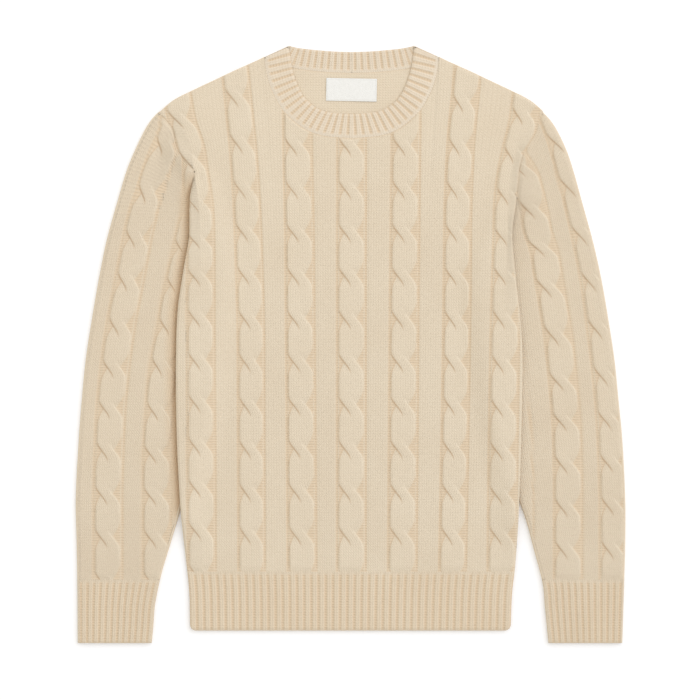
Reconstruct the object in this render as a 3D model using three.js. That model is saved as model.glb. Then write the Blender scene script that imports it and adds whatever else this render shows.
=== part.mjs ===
// A crew-neck sweater knitted in rope cables, laid flat on a surface with its front up.
//
// Millimetres. X runs across, Y up towards the neck, Z up from the surface. The origin is on the
// surface under the middle of the garment. Right and left are the wearer's: right is at -X.
// The back lies on the surface, the front lies on the back, and below the armholes the sides of
// the body lie over the two sleeves, which are flattened tubes.

import * as THREE from 'three';

// Cloth
const WALL = 2.4;
const LAYER_GAP = 0.4;
const SEAM_GAP = 0.4;
const FRONT_LEVEL = WALL + LAYER_GAP;
const TUBE_MIDDLE = WALL + LAYER_GAP / 2;
const FOLD_OUTSIDE = TUBE_MIDDLE;
const FOLD_INSIDE = LAYER_GAP / 2;
const EDGE_ROUNDING = 1.0;

// Rope cables and the purl channels beside them
const CABLE_RISE = 1.7;
const CABLE_HALF = 14.2;
const STRAND_OFFSET = 6.8;
const STRAND_HALF = 7.5;
const CHANNEL_WIDTH = 3.5;
const CHANNEL_DEPTH = 0.8;
const PURL_LEVEL = -0.5;
const CROSSING_LENGTH = 22;
const UNDER_DIP = 1.2;

// Ribs
const RIB_RISE = 0.7;
const RIB_DIP = 0.5;
const HEM_RIBS = 45;
const CUFF_RIBS = 12;
const NECK_FRONT_RIBS = 36;
const NECK_BACK_RIBS = 24;
const RIB_SHARE = { end: 0.6, middle: 1, seam: 0.8 };
const NECK_INSIDE_GROOVES = { depth: 0.7, reach: 66 };

// Heights up the garment
const HEM_SEAM_Y = -264;
const HEM_END_Y = -332.8;
const CUFF_SEAM_Y = -273.4;
const CUFF_END_Y = -347.2;
const SHOULDER_TIP_Y = 269.5;
const UNDERARM_Y = { right: 200, left: 171 };
const STRAIGHT_ROWS_TOP_Y = 150;

// How far the body's side is raised by the sleeve under it, and how it comes down again
const SIDE_LIFT = 6.6;
const UNDERARM_LIFT = 3.0;
const LIFT_DROP = 25;
const LIFT_MARGIN = 4;
const LIFT_RAMP = 30;
const LIFT_FADE_Y = { full: -196, none: -242 };
const SLEEVE_SETTLE = 16;

// How near a fold, or how far under the body, a sleeve's cables are pressed flat
const PRESSED = { underBody: -5, clearOfBody: 8, strandAtFold: 6, channelAtFold: 3 };

// Edge of the body on each side: the armhole seam down to the underarm, then the side
const BODY_EDGE = {
  right: [
    { y: 269.5, x: -224 }, { y: 260, x: -214.4 }, { y: 251, x: -207.1 }, { y: 230, x: -202.4 },
    { y: 224, x: -199.6 }, { y: 212, x: -192.2 }, { y: 200, x: -181.6 }, { y: 170, x: -186.3 },
    { y: 122, x: -187.2 }, { y: 102, x: -191 }, { y: 73, x: -195.8 }, { y: 46, x: -199.8 },
    { y: 15, x: -201.8 }, { y: -51, x: -202.5 }, { y: -118, x: -201.1 }, { y: -157, x: -199.2 },
    { y: -191, x: -197.1 }, { y: -242, x: -192.3 }, { y: -285, x: -187.6 }, { y: -328, x: -186.4 },
  ],
  left: [
    { y: 269.5, x: 224 }, { y: 261, x: 219.6 }, { y: 245, x: 214.5 }, { y: 236, x: 209 },
    { y: 223, x: 201.9 }, { y: 202, x: 196.4 }, { y: 171, x: 193.1 }, { y: 131, x: 187.6 },
    { y: 104, x: 189 }, { y: 78, x: 191.6 }, { y: 28, x: 197.1 }, { y: -18, x: 199.4 },
    { y: -111, x: 197.8 }, { y: -183, x: 195.5 }, { y: -220, x: 194 }, { y: -257, x: 191.6 },
    { y: -290, x: 187.8 }, { y: -330, x: 186.2 },
  ],
};

// Edges of each sleeve as it lies: its outer fold, and its inner fold, partly under the body
const SLEEVE_OUTER = {
  right: [
    { y: 269.5, x: -224.5 }, { y: 260, x: -232.6 }, { y: 249, x: -239.5 }, { y: 225, x: -251.1 },
    { y: 202, x: -260.4 }, { y: 167, x: -270.9 }, { y: 121, x: -283.6 }, { y: 75, x: -292.9 },
    { y: 28, x: -301 }, { y: -18, x: -308 }, { y: -65, x: -312.6 }, { y: -111, x: -316.1 },
    { y: -181, x: -319.6 }, { y: -227, x: -318.6 }, { y: -273, x: -317.8 }, { y: -347, x: -317.3 },
  ],
  left: [
    { y: 269.5, x: 224.5 }, { y: 260, x: 231.9 }, { y: 249, x: 238.4 }, { y: 225, x: 250 },
    { y: 202, x: 258.7 }, { y: 167, x: 268.9 }, { y: 121, x: 281.6 }, { y: 75, x: 291.9 },
    { y: 28, x: 300 }, { y: -18, x: 307 }, { y: -65, x: 311.7 }, { y: -111, x: 316.1 },
    { y: -181, x: 319.5 }, { y: -227, x: 319.6 }, { y: -273, x: 318.4 }, { y: -347, x: 316.1 },
  ],
};
const SLEEVE_INNER = {
  right: [
    { y: 200, x: -182.6 }, { y: 184, x: -185.6 }, { y: 170, x: -180.5 }, { y: 150, x: -171 },
    { y: 121, x: -161.2 }, { y: 75, x: -157.2 }, { y: 28, x: -159.5 }, { y: -18, x: -165.3 },
    { y: -65, x: -172.3 }, { y: -111, x: -180.4 }, { y: -157, x: -189.7 }, { y: -192, x: -197.6 },
    { y: -232, x: -209.4 }, { y: -266, x: -219.6 }, { y: -302, x: -227.2 }, { y: -328, x: -229.4 },
    { y: -347, x: -231.2 },
  ],
  left: [
    { y: 171, x: 194.1 }, { y: 155, x: 192.2 }, { y: 140, x: 184.5 }, { y: 121, x: 172 },
    { y: 98, x: 161.5 }, { y: 75, x: 157.5 }, { y: 28, x: 159.5 }, { y: -18, x: 165.3 },
    { y: -65, x: 172.3 }, { y: -111, x: 180.4 }, { y: -157, x: 189.7 }, { y: -183, x: 196.5 },
    { y: -204, x: 204 }, { y: -239, x: 213.4 }, { y: -278, x: 223.5 }, { y: -305, x: 226.1 },
    { y: -347, x: 230.2 },
  ],
};

// Top of both panels from the neck out to the shoulder tip, by distance from the neck's middle
const NECK_MIDDLE_X = 1.3;
const SHOULDER_LINE = [
  { x: 101.4, y: 334.1 }, { x: 110, y: 329.8 }, { x: 136, y: 318.2 }, { x: 160.5, y: 306.6 },
  { x: 185, y: 295 }, { x: 207.5, y: 283.4 }, { x: 224, y: 269.5 },
];

// Half of the neckband, from the fold at the shoulder to the middle: each row is one rib line
const NECK_FRONT = [
  { seamX: 101.4, seamY: 334.1, edgeX: 73, edgeY: 347.2 },
  { seamX: 100.6, seamY: 322.8, edgeX: 70.6, edgeY: 329.8 },
  { seamX: 96.4, seamY: 304.3, edgeX: 67.2, edgeY: 314.1 },
  { seamX: 87.7, seamY: 284.5, edgeX: 61.4, edgeY: 298.5 },
  { seamX: 75.2, seamY: 266.6, edgeX: 53.3, edgeY: 285.1 },
  { seamX: 55.6, seamY: 250.9, edgeX: 39.5, edgeY: 274.1 },
  { seamX: 34, seamY: 242.6, edgeX: 23, edgeY: 269.2 },
  { seamX: 0, seamY: 239.3, edgeX: 0, edgeY: 267.8 },
];
const NECK_BACK = [
  { seamX: 101.4, seamY: 334.1, edgeX: 73, edgeY: 347.2 },
  { seamX: 84, seamY: 328.3, edgeX: 69, edgeY: 346.2 },
  { seamX: 67, seamY: 321.7, edgeX: 60, edgeY: 344.6 },
  { seamX: 46, seamY: 318.6, edgeX: 42, edgeY: 342.6 },
  { seamX: 23, seamY: 316.6, edgeX: 21, edgeY: 340.9 },
  { seamX: 0, seamY: 315.9, edgeX: 0, edgeY: 340.2 },
];

// Middle lines of the seven cables of the front, by height
const BODY_CABLES = [
  { y: 325, x: [-207, -135, -62, 1.7, 65, 136.3, 210] },
  { y: 288, x: [-201.3, -131, -62, 1.7, 65, 133.2, 204.7] },
  { y: 260, x: [-196, -128.2, -61.7, 1.7, 65, 130.3, 201.2] },
  { y: 232, x: [-186.7, -125.2, -61.5, 1.7, 64.9, 127.9, 194.3] },
  { y: 202, x: [-181.6, -122.6, -61, 1.7, 64.7, 126.4, 187.9] },
  { y: 163, x: [-175, -120, -60.1, 1.7, 64.5, 124.8, 183.3] },
  { y: 124, x: [-173.4, -118.3, -59.4, 1.7, 64.2, 124.2, 182] },
  { y: 28, x: [-173.1, -115.4, -58.6, 1.7, 63.2, 123.2, 179.2] },
  { y: -65, x: [-172.8, -115, -57.8, 1.7, 63, 121.9, 177.5] },
  { y: -264, x: [-172.3, -114.3, -56.3, 1.7, 62.6, 118.3, 175.7] },
];
const BODY_CROSSINGS = { first: 230, repeat: 50.2 };
const BODY_CABLE_WIDTHS = [0.97, 0.93, 1, 1, 1, 0.95, 1];
const CROSSINGS_AT_MOST = 12;

// The two cables that show on each sleeve: the middle line and where the strands cross
const SLEEVE_CABLES = {
  right: [
    {
      first: 183.6, repeat: 51.0, line: [
        { y: 252, x: -205.3 }, { y: 225, x: -216.5 }, { y: 203, x: -225.3 }, { y: 180, x: -232.6 },
        { y: 153, x: -241 }, { y: 124, x: -247.6 }, { y: 73, x: -257.2 }, { y: 26, x: -266.2 },
        { y: -23, x: -273.2 }, { y: -74, x: -278.2 }, { y: -123, x: -280.5 }, { y: -169, x: -281.9 },
      ],
    },
    {
      first: 166.3, repeat: 48.8, line: [
        { y: 162, x: -178.1 }, { y: 124, x: -187.9 }, { y: 87, x: -195.5 }, { y: 63, x: -201.3 },
        { y: 19, x: -208.8 }, { y: -28, x: -217.5 }, { y: -79, x: -222.1 }, { y: -126, x: -225 },
      ],
    },
  ],
  left: [
    {
      first: 161.6, repeat: 50.0, line: [
        { y: 223, x: 187.3 }, { y: 202, x: 200.7 }, { y: 180, x: 207.1 }, { y: 156, x: 212.9 },
        { y: 131, x: 217.7 }, { y: 108, x: 225 }, { y: 78, x: 230 }, { y: 51, x: 234.7 },
        { y: 5, x: 241.9 }, { y: -50, x: 247.4 }, { y: -96, x: 251.1 }, { y: -151, x: 252.6 },
      ],
    },
    {
      first: 232.3, repeat: 52.3, line: [
        { y: 262, x: 235.5 }, { y: 232, x: 246.5 }, { y: 180, x: 260.4 }, { y: 127, x: 273.2 },
        { y: 73, x: 284.1 }, { y: 17, x: 291.7 }, { y: -35, x: 298 }, { y: -88, x: 302.6 },
        { y: -140, x: 305 }, { y: -191, x: 306.2 },
      ],
    },
  ],
};

// The blank label sewn inside the back of the neck
const LABEL = { width: 59, height: 26.6, thickness: 0.5, gap: 0.3, x: 1.1, y: 296, turn: -0.02 };

// Where columns of points stand: whole numbers are the middle lines of the front's cables, from -3
// to 3, and 3.32 is the body's edge
const EDGE_COLUMN = 3.32;
const CABLE_SAMPLES = [-0.31, -0.26, -0.12, 0, 0.12, 0.26, 0.31];
const SIDE_SAMPLES = [EDGE_COLUMN, 3.23, 3.12];
const PLAIN_COLUMNS = [EDGE_COLUMN, 3, 2.75, 2.5, 2.25, 2];
const NECK_CORNER = 1.53;
const NECK_TURN = 1.31;
const BACK_NECK_COLUMNS = [NECK_CORNER, 1.48, 1.4, 1.3, 1.2, 1.1, 1, 0.85, 0.65, 0.45, 0.22];
const TOP_ROW_COLUMNS = [1.515, 1.48, 1.42, 1.345];
const CHANNEL_COLUMN = 0.5;

// Sections of the neck's half table that the columns round its corner end on
const CORNER_SECTIONS = [
  { column: NECK_CORNER, section: 0 }, { column: 1.5, section: 1 }, { column: 1.46, section: 2 },
  { column: 1.385, section: 3 }, { column: NECK_TURN, section: 3.45 },
];
const BACK_CORNER = { from: 88, to: 97, gap: 2.4 };

// Where rows of points lie: distances below each crossing, heights, and parts of the way up
const CROSSING_ROWS = [20, 7, -4, -16];
const CROSSING_ROW_MARGIN = 5.5;
const PLAIN_ROW_HEIGHTS = [-242, -219, -196, -157, -110, -60, -10, 40, 75, 105, 128];
const ARMHOLE_STEPS = 6;
const BLEND_STEPS = 3;

// Points of the sleeves, cuffs and folds
const SLEEVE_SAMPLES = [-18.2, -15.5, -7.2, 0, 7.2, 15.5, 18.2];
const SLEEVE_POINT_GAP = 1.2;
const SLEEVE_STRAIGHT_TOP = { right: 150, left: 120 };
const SLEEVE_FAN = [0.2, 0.4, 0.6, 0.8, 1];
const SLEEVE_UNDERSIDE = [0.25, 0.5, 0.75];
const INSIDE_ROWS_EVERY = 3;
const INSIDE_PLACES_EVERY = 4;
const FOLD_STEPS = { outside: 4, inside: 2 };
const NECK_FOLD_DIRECTION = { x: 0.42, y: 0.9 };
const SHOULDER_FOLD_DIRECTION = { x: 0.15, y: 0.99 };
const SHOULDER_FOLD_MARGIN = 6;
const ARMHOLE_GAP = SEAM_GAP + 0.1;
const FACING_STEP = 4;

const NEAR = 0.001;
const NECK_STEP = 0.05;
const SOLVER_STEPS = 30;

const beige = { color: 0xe0cfb4, roughness: 0.95, metalness: 0 };
const offWhite = { color: 0xf1f1ee, roughness: 0.8, metalness: 0 };

const lerp = THREE.MathUtils.lerp;
const clamp = THREE.MathUtils.clamp;
const smooth = (low, high, value) => THREE.MathUtils.smoothstep(value, low, high);

/** A column of a table at a height, eased between its rows, whose key falls from row to row */
function along(table, key, column, at) {
  const last = table.length - 1;
  if (at >= table[0][key]) return column(table[0]);
  if (at <= table[last][key]) return column(table[last]);
  const i = table.findIndex((row, n) => n < last && at >= table[n + 1][key]);
  const slope = (k) => {
    const before = table[Math.max(k - 1, 0)];
    const after = table[Math.min(k + 1, last)];
    return (column(after) - column(before)) / (after[key] - before[key]);
  };
  const span = table[i + 1][key] - table[i][key];
  const t = (at - table[i][key]) / span;
  const start = column(table[i]);
  const end = column(table[i + 1]);
  const bend = t * (1 - t);
  return lerp(start, end, t * t * (3 - 2 * t))
    + span * bend * ((1 - t) * slope(i) - t * slope(i + 1));
}

const edgeOf = (table, y) => along(table, 'y', (row) => row.x, y);
const bodyEdge = (side, y) => edgeOf(BODY_EDGE[side], y);
const sideAt = (x) => (x < 0 ? 'right' : 'left');

/** How far the body is raised off the surface at a place, by the sleeve under its side */
function bodyLift(x, y) {
  const side = sideAt(x);
  const underarm = UNDERARM_Y[side];
  const edge = Math.abs(bodyEdge(side, y));
  let lift = SIDE_LIFT * smooth(LIFT_FADE_Y.none, LIFT_FADE_Y.full, y);
  let shelf = 0;
  if (y >= underarm) {
    const down = clamp((SHOULDER_TIP_Y - y) / (SHOULDER_TIP_Y - underarm), 0, 1);
    lift = UNDERARM_LIFT * down * down;
  } else {
    const settled = smooth(0, LIFT_DROP, underarm - y);
    lift = Math.min(lift, lerp(UNDERARM_LIFT, SIDE_LIFT, settled));
    shelf = Math.max(0, edge - Math.abs(edgeOf(SLEEVE_INNER[side], y))) + LIFT_MARGIN;
  }
  return lift * (1 - smooth(0, LIFT_RAMP, edge - shelf - Math.abs(x)));
}

/** How far the sleeve is raised beside the armhole, where it is sewn to the raised body */
function sleeveLift(side, x, y) {
  const underarm = UNDERARM_Y[side];
  const down = clamp((SHOULDER_TIP_Y - y) / (SHOULDER_TIP_Y - underarm), 0, 1);
  const settled = smooth(0, SLEEVE_SETTLE, underarm - y);
  const away = Math.abs(x) - Math.abs(bodyEdge(side, y));
  return UNDERARM_LIFT * down * down * (1 - settled) * (1 - smooth(0, LIFT_DROP, away));
}

const dome = (across) => Math.sqrt(Math.max(0, 1 - (across / STRAND_HALF) ** 2));

/** Height of a rope cable: the strand from the upper left passes over the other one */
function rope(across, below) {
  const half = CROSSING_LENGTH / 2;
  const lead = STRAND_OFFSET * (2 * smooth(-half, half, below) - 1);
  const over = CABLE_RISE * dome(across - lead);
  const dip = UNDER_DIP * (1 - smooth(0, half, Math.abs(below)));
  const under = CABLE_RISE * dome(across + lead) - dip;
  return Math.max(over, under, PURL_LEVEL);
}

/** Height over the plain cloth at a distance across one cable, at a height up the garment */
function cableRelief(across, y, crossings) {
  const out = Math.abs(across);
  if (out < CABLE_HALF) {
    const turns = (crossings.first - y) / crossings.repeat;
    return rope(across, (turns - Math.round(turns)) * crossings.repeat);
  }
  const into = (out - CABLE_HALF) / CHANNEL_WIDTH;
  return into < 1 ? -CHANNEL_DEPTH * Math.sin(Math.PI * into) : 0;
}

/** Relief of the front: its nearest cable */
function bodyRelief(x, y) {
  const offsets = BODY_CABLE_WIDTHS.map((width, k) => (
    (x - along(BODY_CABLES, 'y', (row) => row.x[k], y)) / width));
  const nearest = offsets.reduce((best, offset) => (Math.abs(offset) < Math.abs(best) ? offset : best));
  return cableRelief(nearest, y, BODY_CROSSINGS);
}

/** Relief of a sleeve, pressed flat towards its folds and where the body lies on it */
function sleeveRelief(side, x, y) {
  let relief = 0;
  for (const cable of SLEEVE_CABLES[side]) {
    const across = x - edgeOf(cable.line, y);
    if (Math.abs(across) < CABLE_HALF + CHANNEL_WIDTH) relief = cableRelief(across, y, cable);
  }
  const outward = Math.abs(x);
  const toOuter = Math.abs(edgeOf(SLEEVE_OUTER[side], y)) - outward;
  const toInner = outward - Math.abs(edgeOf(SLEEVE_INNER[side], y));
  const clear = y < UNDERARM_Y[side] ? outward - Math.abs(bodyEdge(side, y)) : LIFT_DROP;
  const toFold = Math.min(toOuter, toInner);
  if (relief < 0) return relief * smooth(0, PRESSED.channelAtFold, toFold);
  return relief * smooth(PRESSED.underBody, PRESSED.clearOfBody, clear)
    * smooth(0, PRESSED.strandAtFold, toFold);
}

/** X of a column of points: whole numbers are cables, and the last column is the body's edge */
function columnX(column, y) {
  const cable = (k) => along(BODY_CABLES, 'y', (row) => row.x[k], y);
  const outermost = 3;
  if (Math.abs(column) > outermost) {
    const side = column < 0 ? 'right' : 'left';
    const from = cable(column < 0 ? 0 : 2 * outermost);
    const part = (Math.abs(column) - outermost) / (EDGE_COLUMN - outermost);
    return lerp(from, bodyEdge(side, y), part);
  }
  const k = Math.min(Math.floor(column + outermost), 2 * outermost - 1);
  return lerp(cable(k), cable(k + 1), column + outermost - k);
}

/** A point of a neck curve, by section number along its half table */
function neckPoint(table, section, edge) {
  const rows = table.map((row, n) => ({ ...row, n: -n }));
  return {
    x: along(rows, 'n', (row) => row[`${edge}X`], -section),
    y: along(rows, 'n', (row) => row[`${edge}Y`], -section),
  };
}

/** The neckline's section that lies at a distance from the neck's middle, past its widest place */
function neckSection(table, distance) {
  let low = table === NECK_FRONT ? 1 : 0;
  let high = table.length - 1;
  for (let n = 0; n < SOLVER_STEPS; n += 1) {
    const middle = (low + high) / 2;
    if (neckPoint(table, middle, 'seam').x > distance) low = middle;
    else high = middle;
  }
  return low;
}

/** A point just outside the neckline, off the neckband by the seam's gap at right angles */
function beyondNeckline(table, section, gap) {
  const before = neckPoint(table, section - NECK_STEP, 'seam');
  const after = neckPoint(table, section + NECK_STEP, 'seam');
  const at = neckPoint(table, section, 'seam');
  const outward = new THREE.Vector2(before.y - after.y, after.x - before.x).normalize();
  return { x: at.x + gap * outward.x, y: at.y + gap * outward.y };
}

/** Top end of a column of points: on the shoulder line, or just outside the neckline */
function columnTop(column, neckTable) {
  const side = Math.sign(column) || 1;
  const reach = Math.abs(column);
  if (reach > NECK_CORNER + NEAR) {
    let y = SHOULDER_TIP_Y;
    const line = [...SHOULDER_LINE].reverse();
    if (reach >= EDGE_COLUMN) return { x: columnX(column, y), y };
    for (let n = 0; n < SOLVER_STEPS; n += 1) {
      const x = Math.abs(columnX(column, y) - NECK_MIDDLE_X);
      y = along(line, 'x', (row) => row.y, x);
    }
    return { x: columnX(column, y), y };
  }
  const front = neckTable === NECK_FRONT;
  let at = { x: 0, y: SHOULDER_TIP_Y };
  for (let n = 0; n < SOLVER_STEPS; n += 1) {
    const distance = Math.min(Math.abs(columnX(column, at.y) - NECK_MIDDLE_X), neckTable[0].seamX);
    const turned = front && reach > NECK_TURN + NEAR;
    const section = turned
      ? along(CORNER_SECTIONS, 'column', (row) => row.section, reach)
      : neckSection(neckTable, distance);
    const corner = BACK_CORNER.gap * smooth(BACK_CORNER.from, BACK_CORNER.to, distance);
    at = beyondNeckline(neckTable, section, SEAM_GAP + (front ? 0 : corner));
  }
  return { x: NECK_MIDDLE_X + side * at.x * (column === 0 ? 0 : 1), y: at.y };
}

/** Y of the underarm line, which crosses the body from one underarm to the other */
function underarmLine(column) {
  const across = (column + EDGE_COLUMN) / (2 * EDGE_COLUMN);
  return lerp(UNDERARM_Y.right, UNDERARM_Y.left, across);
}

/** Places of one row of points: straight rows low down, then rows that fan up to the top */
function panelRow(row, columns, neckTable) {
  return columns.map((column) => {
    if (row.y !== undefined) return { x: columnX(column, row.y), y: row.y };
    const turn = underarmLine(column);
    if (row.blend !== undefined) {
      const y = lerp(STRAIGHT_ROWS_TOP_Y, turn, row.blend);
      return { x: columnX(column, y), y };
    }
    const top = columnTop(column, neckTable);
    const y = lerp(turn, top.y, row.rise);
    return { x: columnX(column, y) + row.rise * (top.x - columnX(column, top.y)), y };
  });
}

const blendRows = Array.from({ length: BLEND_STEPS }, (_, n) => ({ blend: (n + 1) / BLEND_STEPS }));
const fanRows = Array.from({ length: ARMHOLE_STEPS }, (_, n) => ({ rise: (n + 1) / ARMHOLE_STEPS }));

/** Heights of the rows at a cable's crossings, from the lowest up, between two heights */
function crossingRows(crossings, bottom, top) {
  const rows = [];
  for (let k = CROSSINGS_AT_MOST; k >= 0; k -= 1) {
    for (const below of CROSSING_ROWS) {
      const y = crossings.first - k * crossings.repeat - below;
      if (y > bottom + CROSSING_ROW_MARGIN && y < top - CROSSING_ROW_MARGIN) rows.push(y);
    }
  }
  return rows;
}

/** Rows of a face of a panel, with straight rows between the hem and the fan at these heights */
function panelRows(heights) {
  const straight = [HEM_SEAM_Y + SEAM_GAP / 2, ...heights, STRAIGHT_ROWS_TOP_Y];
  return [...straight.map((y) => ({ y })), ...blendRows, ...fanRows];
}

const fineRows = () => panelRows(crossingRows(BODY_CROSSINGS, HEM_SEAM_Y, STRAIGHT_ROWS_TOP_Y));
const coarseRows = () => panelRows(PLAIN_ROW_HEIGHTS);

const mirrored = (columns) => [...columns.map((c) => -c), 0, ...[...columns].reverse()];

/** Columns of the cabled face, with more of them round the neckline's corner in the top rows */
function fineColumns(row) {
  const columns = [];
  for (let cable = -3; cable <= 3; cable += 1) {
    for (const sample of CABLE_SAMPLES) {
      if (Math.abs(cable + sample) <= 3) columns.push(cable + sample);
    }
  }
  if (row.rise !== undefined) {
    for (const { column } of CORNER_SECTIONS.slice(0, -1)) columns.push(-column, column);
    columns.push(-CHANNEL_COLUMN, CHANNEL_COLUMN);
  }
  if (row.rise === 1) {
    for (const column of TOP_ROW_COLUMNS) columns.push(-column, column);
  }
  const sides = SIDE_SAMPLES.flatMap((column) => [-column, column]);
  return [...columns, ...sides].sort((a, b) => a - b);
}

/** Columns of a plain face, with the neckline's own in the top row */
function coarseColumns(row, neckTable) {
  if (row.rise === 1) {
    if (neckTable === NECK_FRONT) return fineColumns(row);
    return mirrored([...PLAIN_COLUMNS, ...BACK_NECK_COLUMNS]);
  }
  return mirrored(row.rise ? [...PLAIN_COLUMNS, NECK_CORNER, 1] : [...PLAIN_COLUMNS, 1]);
}

/** Rows of points at a height over the body's raised form */
function panelFace(rows, columnsOf, neckTable, heightAt) {
  return rows.map((row) => {
    const columns = columnsOf(row, neckTable);
    const places = panelRow(row, columns, neckTable);
    return places.map(({ x, y }, n) => {
      const atEdge = n === 0 || n === places.length - 1;
      const point = new THREE.Vector3(x, y, bodyLift(x, y) + heightAt(x, y, atEdge));
      return Object.assign(point, { key: columns[n] });
    });
  });
}

/** Triangles between two rows of points, which face up when the rows run left to right */
class Skin {
  constructor() {
    this.points = [];
  }

  triangle(a, b, c) {
    this.points.push(a, b, c);
  }

  between(low, high, down = false) {
    const triangle = (a, b, c) => (down ? this.triangle(a, c, b) : this.triangle(a, b, c));
    if (low.length === high.length) {
      for (let n = 0; n + 1 < low.length; n += 1) {
        triangle(low[n], low[n + 1], high[n]);
        triangle(low[n + 1], high[n + 1], high[n]);
      }
      return;
    }
    const parts = [low, high].map((row) => {
      const end = row.length - 1;
      if (row[0].key !== row[end].key) {
        return row.map(({ key }) => (key - row[0].key) / (row[end].key - row[0].key));
      }
      const run = [0];
      for (let n = 1; n < row.length; n += 1) run.push(run[n - 1] + row[n].distanceTo(row[n - 1]));
      return run.map((value) => value / run[end]);
    });
    let i = 0;
    let j = 0;
    while (i + 1 < low.length || j + 1 < high.length) {
      const nextLow = i + 1 < low.length ? parts[0][i + 1] : Infinity;
      const nextHigh = j + 1 < high.length ? parts[1][j + 1] : Infinity;
      if (nextLow <= nextHigh) {
        triangle(low[i], low[i + 1], high[j]);
        i += 1;
      } else {
        triangle(low[i], high[j + 1], high[j]);
        j += 1;
      }
    }
  }

  face(rows, down = false) {
    for (let n = 0; n + 1 < rows.length; n += 1) this.between(rows[n], rows[n + 1], down);
  }

  geometry() {
    const geometry = new THREE.BufferGeometry().setFromPoints(this.points);
    geometry.computeVertexNormals();
    return geometry;
  }
}

const first = (rows) => rows.map((row) => row[0]);
const last = (rows) => rows.map((row) => row[row.length - 1]);

/** A closed plate of cloth from the rows of its upper and its lower face */
function plate(upper, lower) {
  const skin = new Skin();
  skin.face(upper);
  skin.face(lower, true);
  skin.between(lower[0], upper[0]);
  skin.between(upper[upper.length - 1], lower[lower.length - 1]);
  skin.between(first(upper), first(lower));
  skin.between(last(lower), last(upper));
  return skin.geometry();
}

/** A closed tube of cloth from the rings of its outside and its inside, low ring first */
function tube(outside, inside) {
  const skin = new Skin();
  for (let part = 0; part < outside[0].length; part += 1) {
    const outer = outside.map((ring) => ring[part]);
    const inner = inside.map((ring) => ring[part]);
    skin.face(outer);
    skin.face(inner, true);
    skin.between(inner[0], outer[0]);
    skin.between(outer[outer.length - 1], inner[inner.length - 1]);
  }
  return skin.geometry();
}

/** The points round a fold, from one layer to the other, about a point of the fold's middle line */
function foldArc(centre, outward, radius, lift, steps, fromTop) {
  return Array.from({ length: steps + 1 }, (_, n) => {
    const turn = Math.PI * (fromTop ? n / steps : 1 - n / steps);
    return new THREE.Vector3(
      centre.x + outward.x * radius * Math.sin(turn),
      centre.y + outward.y * radius * Math.sin(turn),
      TUBE_MIDDLE + lift + radius * Math.cos(turn),
    );
  });
}

/** Ring of a flattened tube: upper layer, fold, lower layer, fold, running left to right on top */
function ring(upper, lower, folds, radius, steps) {
  const [startFold, endFold] = folds;
  const down = foldArc(endFold.centre, endFold.outward, radius, endFold.lift, steps, true);
  const up = foldArc(startFold.centre, startFold.outward, radius, startFold.lift, steps, false);
  const top = [up[up.length - 1], ...upper, down[0]];
  const bottom = [down[down.length - 1], ...lower, up[0]];
  return [top, down, bottom, up];
}

/** Keeps places across a row in order and apart, between two ends */
function spread(places, low, high, step) {
  const kept = [...places];
  kept.forEach((place, n) => { kept[n] = Math.max(place, low + step * (n + 1)); });
  kept.forEach((place, n) => { if (n > 0) kept[n] = Math.max(kept[n], kept[n - 1] + step); });
  for (let n = kept.length - 1; n >= 0; n -= 1) {
    const limit = n === kept.length - 1 ? high : kept[n + 1];
    kept[n] = Math.min(kept[n], limit - step);
  }
  return kept;
}

function frontPanel() {
  const upper = panelFace(fineRows(), fineColumns, NECK_FRONT, (x, y, atEdge) => {
    const top = FRONT_LEVEL + WALL;
    return atEdge ? top - EDGE_ROUNDING : top + bodyRelief(x, y);
  });
  const lower = panelFace(coarseRows(), coarseColumns, NECK_FRONT, () => FRONT_LEVEL);
  return plate(upper, lower);
}

function backPanel() {
  const upper = panelFace(coarseRows(), coarseColumns, NECK_BACK, () => WALL);
  const lower = panelFace(coarseRows(), coarseColumns, NECK_BACK, () => 0);
  return plate(upper, lower);
}

/** Plan places across a sleeve row, from its fold nearest -X to the other, along a straight row */
function sleeveRowPlaces(side, y) {
  const ends = [edgeOf(SLEEVE_OUTER[side], y), edgeOf(SLEEVE_INNER[side], y)].sort((a, b) => a - b);
  const lines = SLEEVE_CABLES[side].map((cable) => edgeOf(cable.line, y)).sort((a, b) => a - b);
  const wanted = lines.flatMap((line) => SLEEVE_SAMPLES.map((sample) => line + sample));
  const inner = spread(wanted, ends[0] + FOLD_OUTSIDE, ends[1] - FOLD_OUTSIDE, SLEEVE_POINT_GAP);
  return { ends, inner };
}

/** Direction in which an edge of the sleeve faces, at right angles to the edge */
function facing(table, y, sign) {
  const run = edgeOf(table, y + FACING_STEP) - edgeOf(table, y - FACING_STEP);
  return new THREE.Vector2(sign * 2 * FACING_STEP, -sign * run).normalize();
}

/** A place on the armhole seam, a part of the way down from the shoulder tip */
function armholePlace(side, part) {
  const sign = side === 'right' ? -1 : 1;
  const y = lerp(SHOULDER_TIP_Y, UNDERARM_Y[side], part);
  return new THREE.Vector2(bodyEdge(side, y) + sign * ARMHOLE_GAP, y);
}

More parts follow.
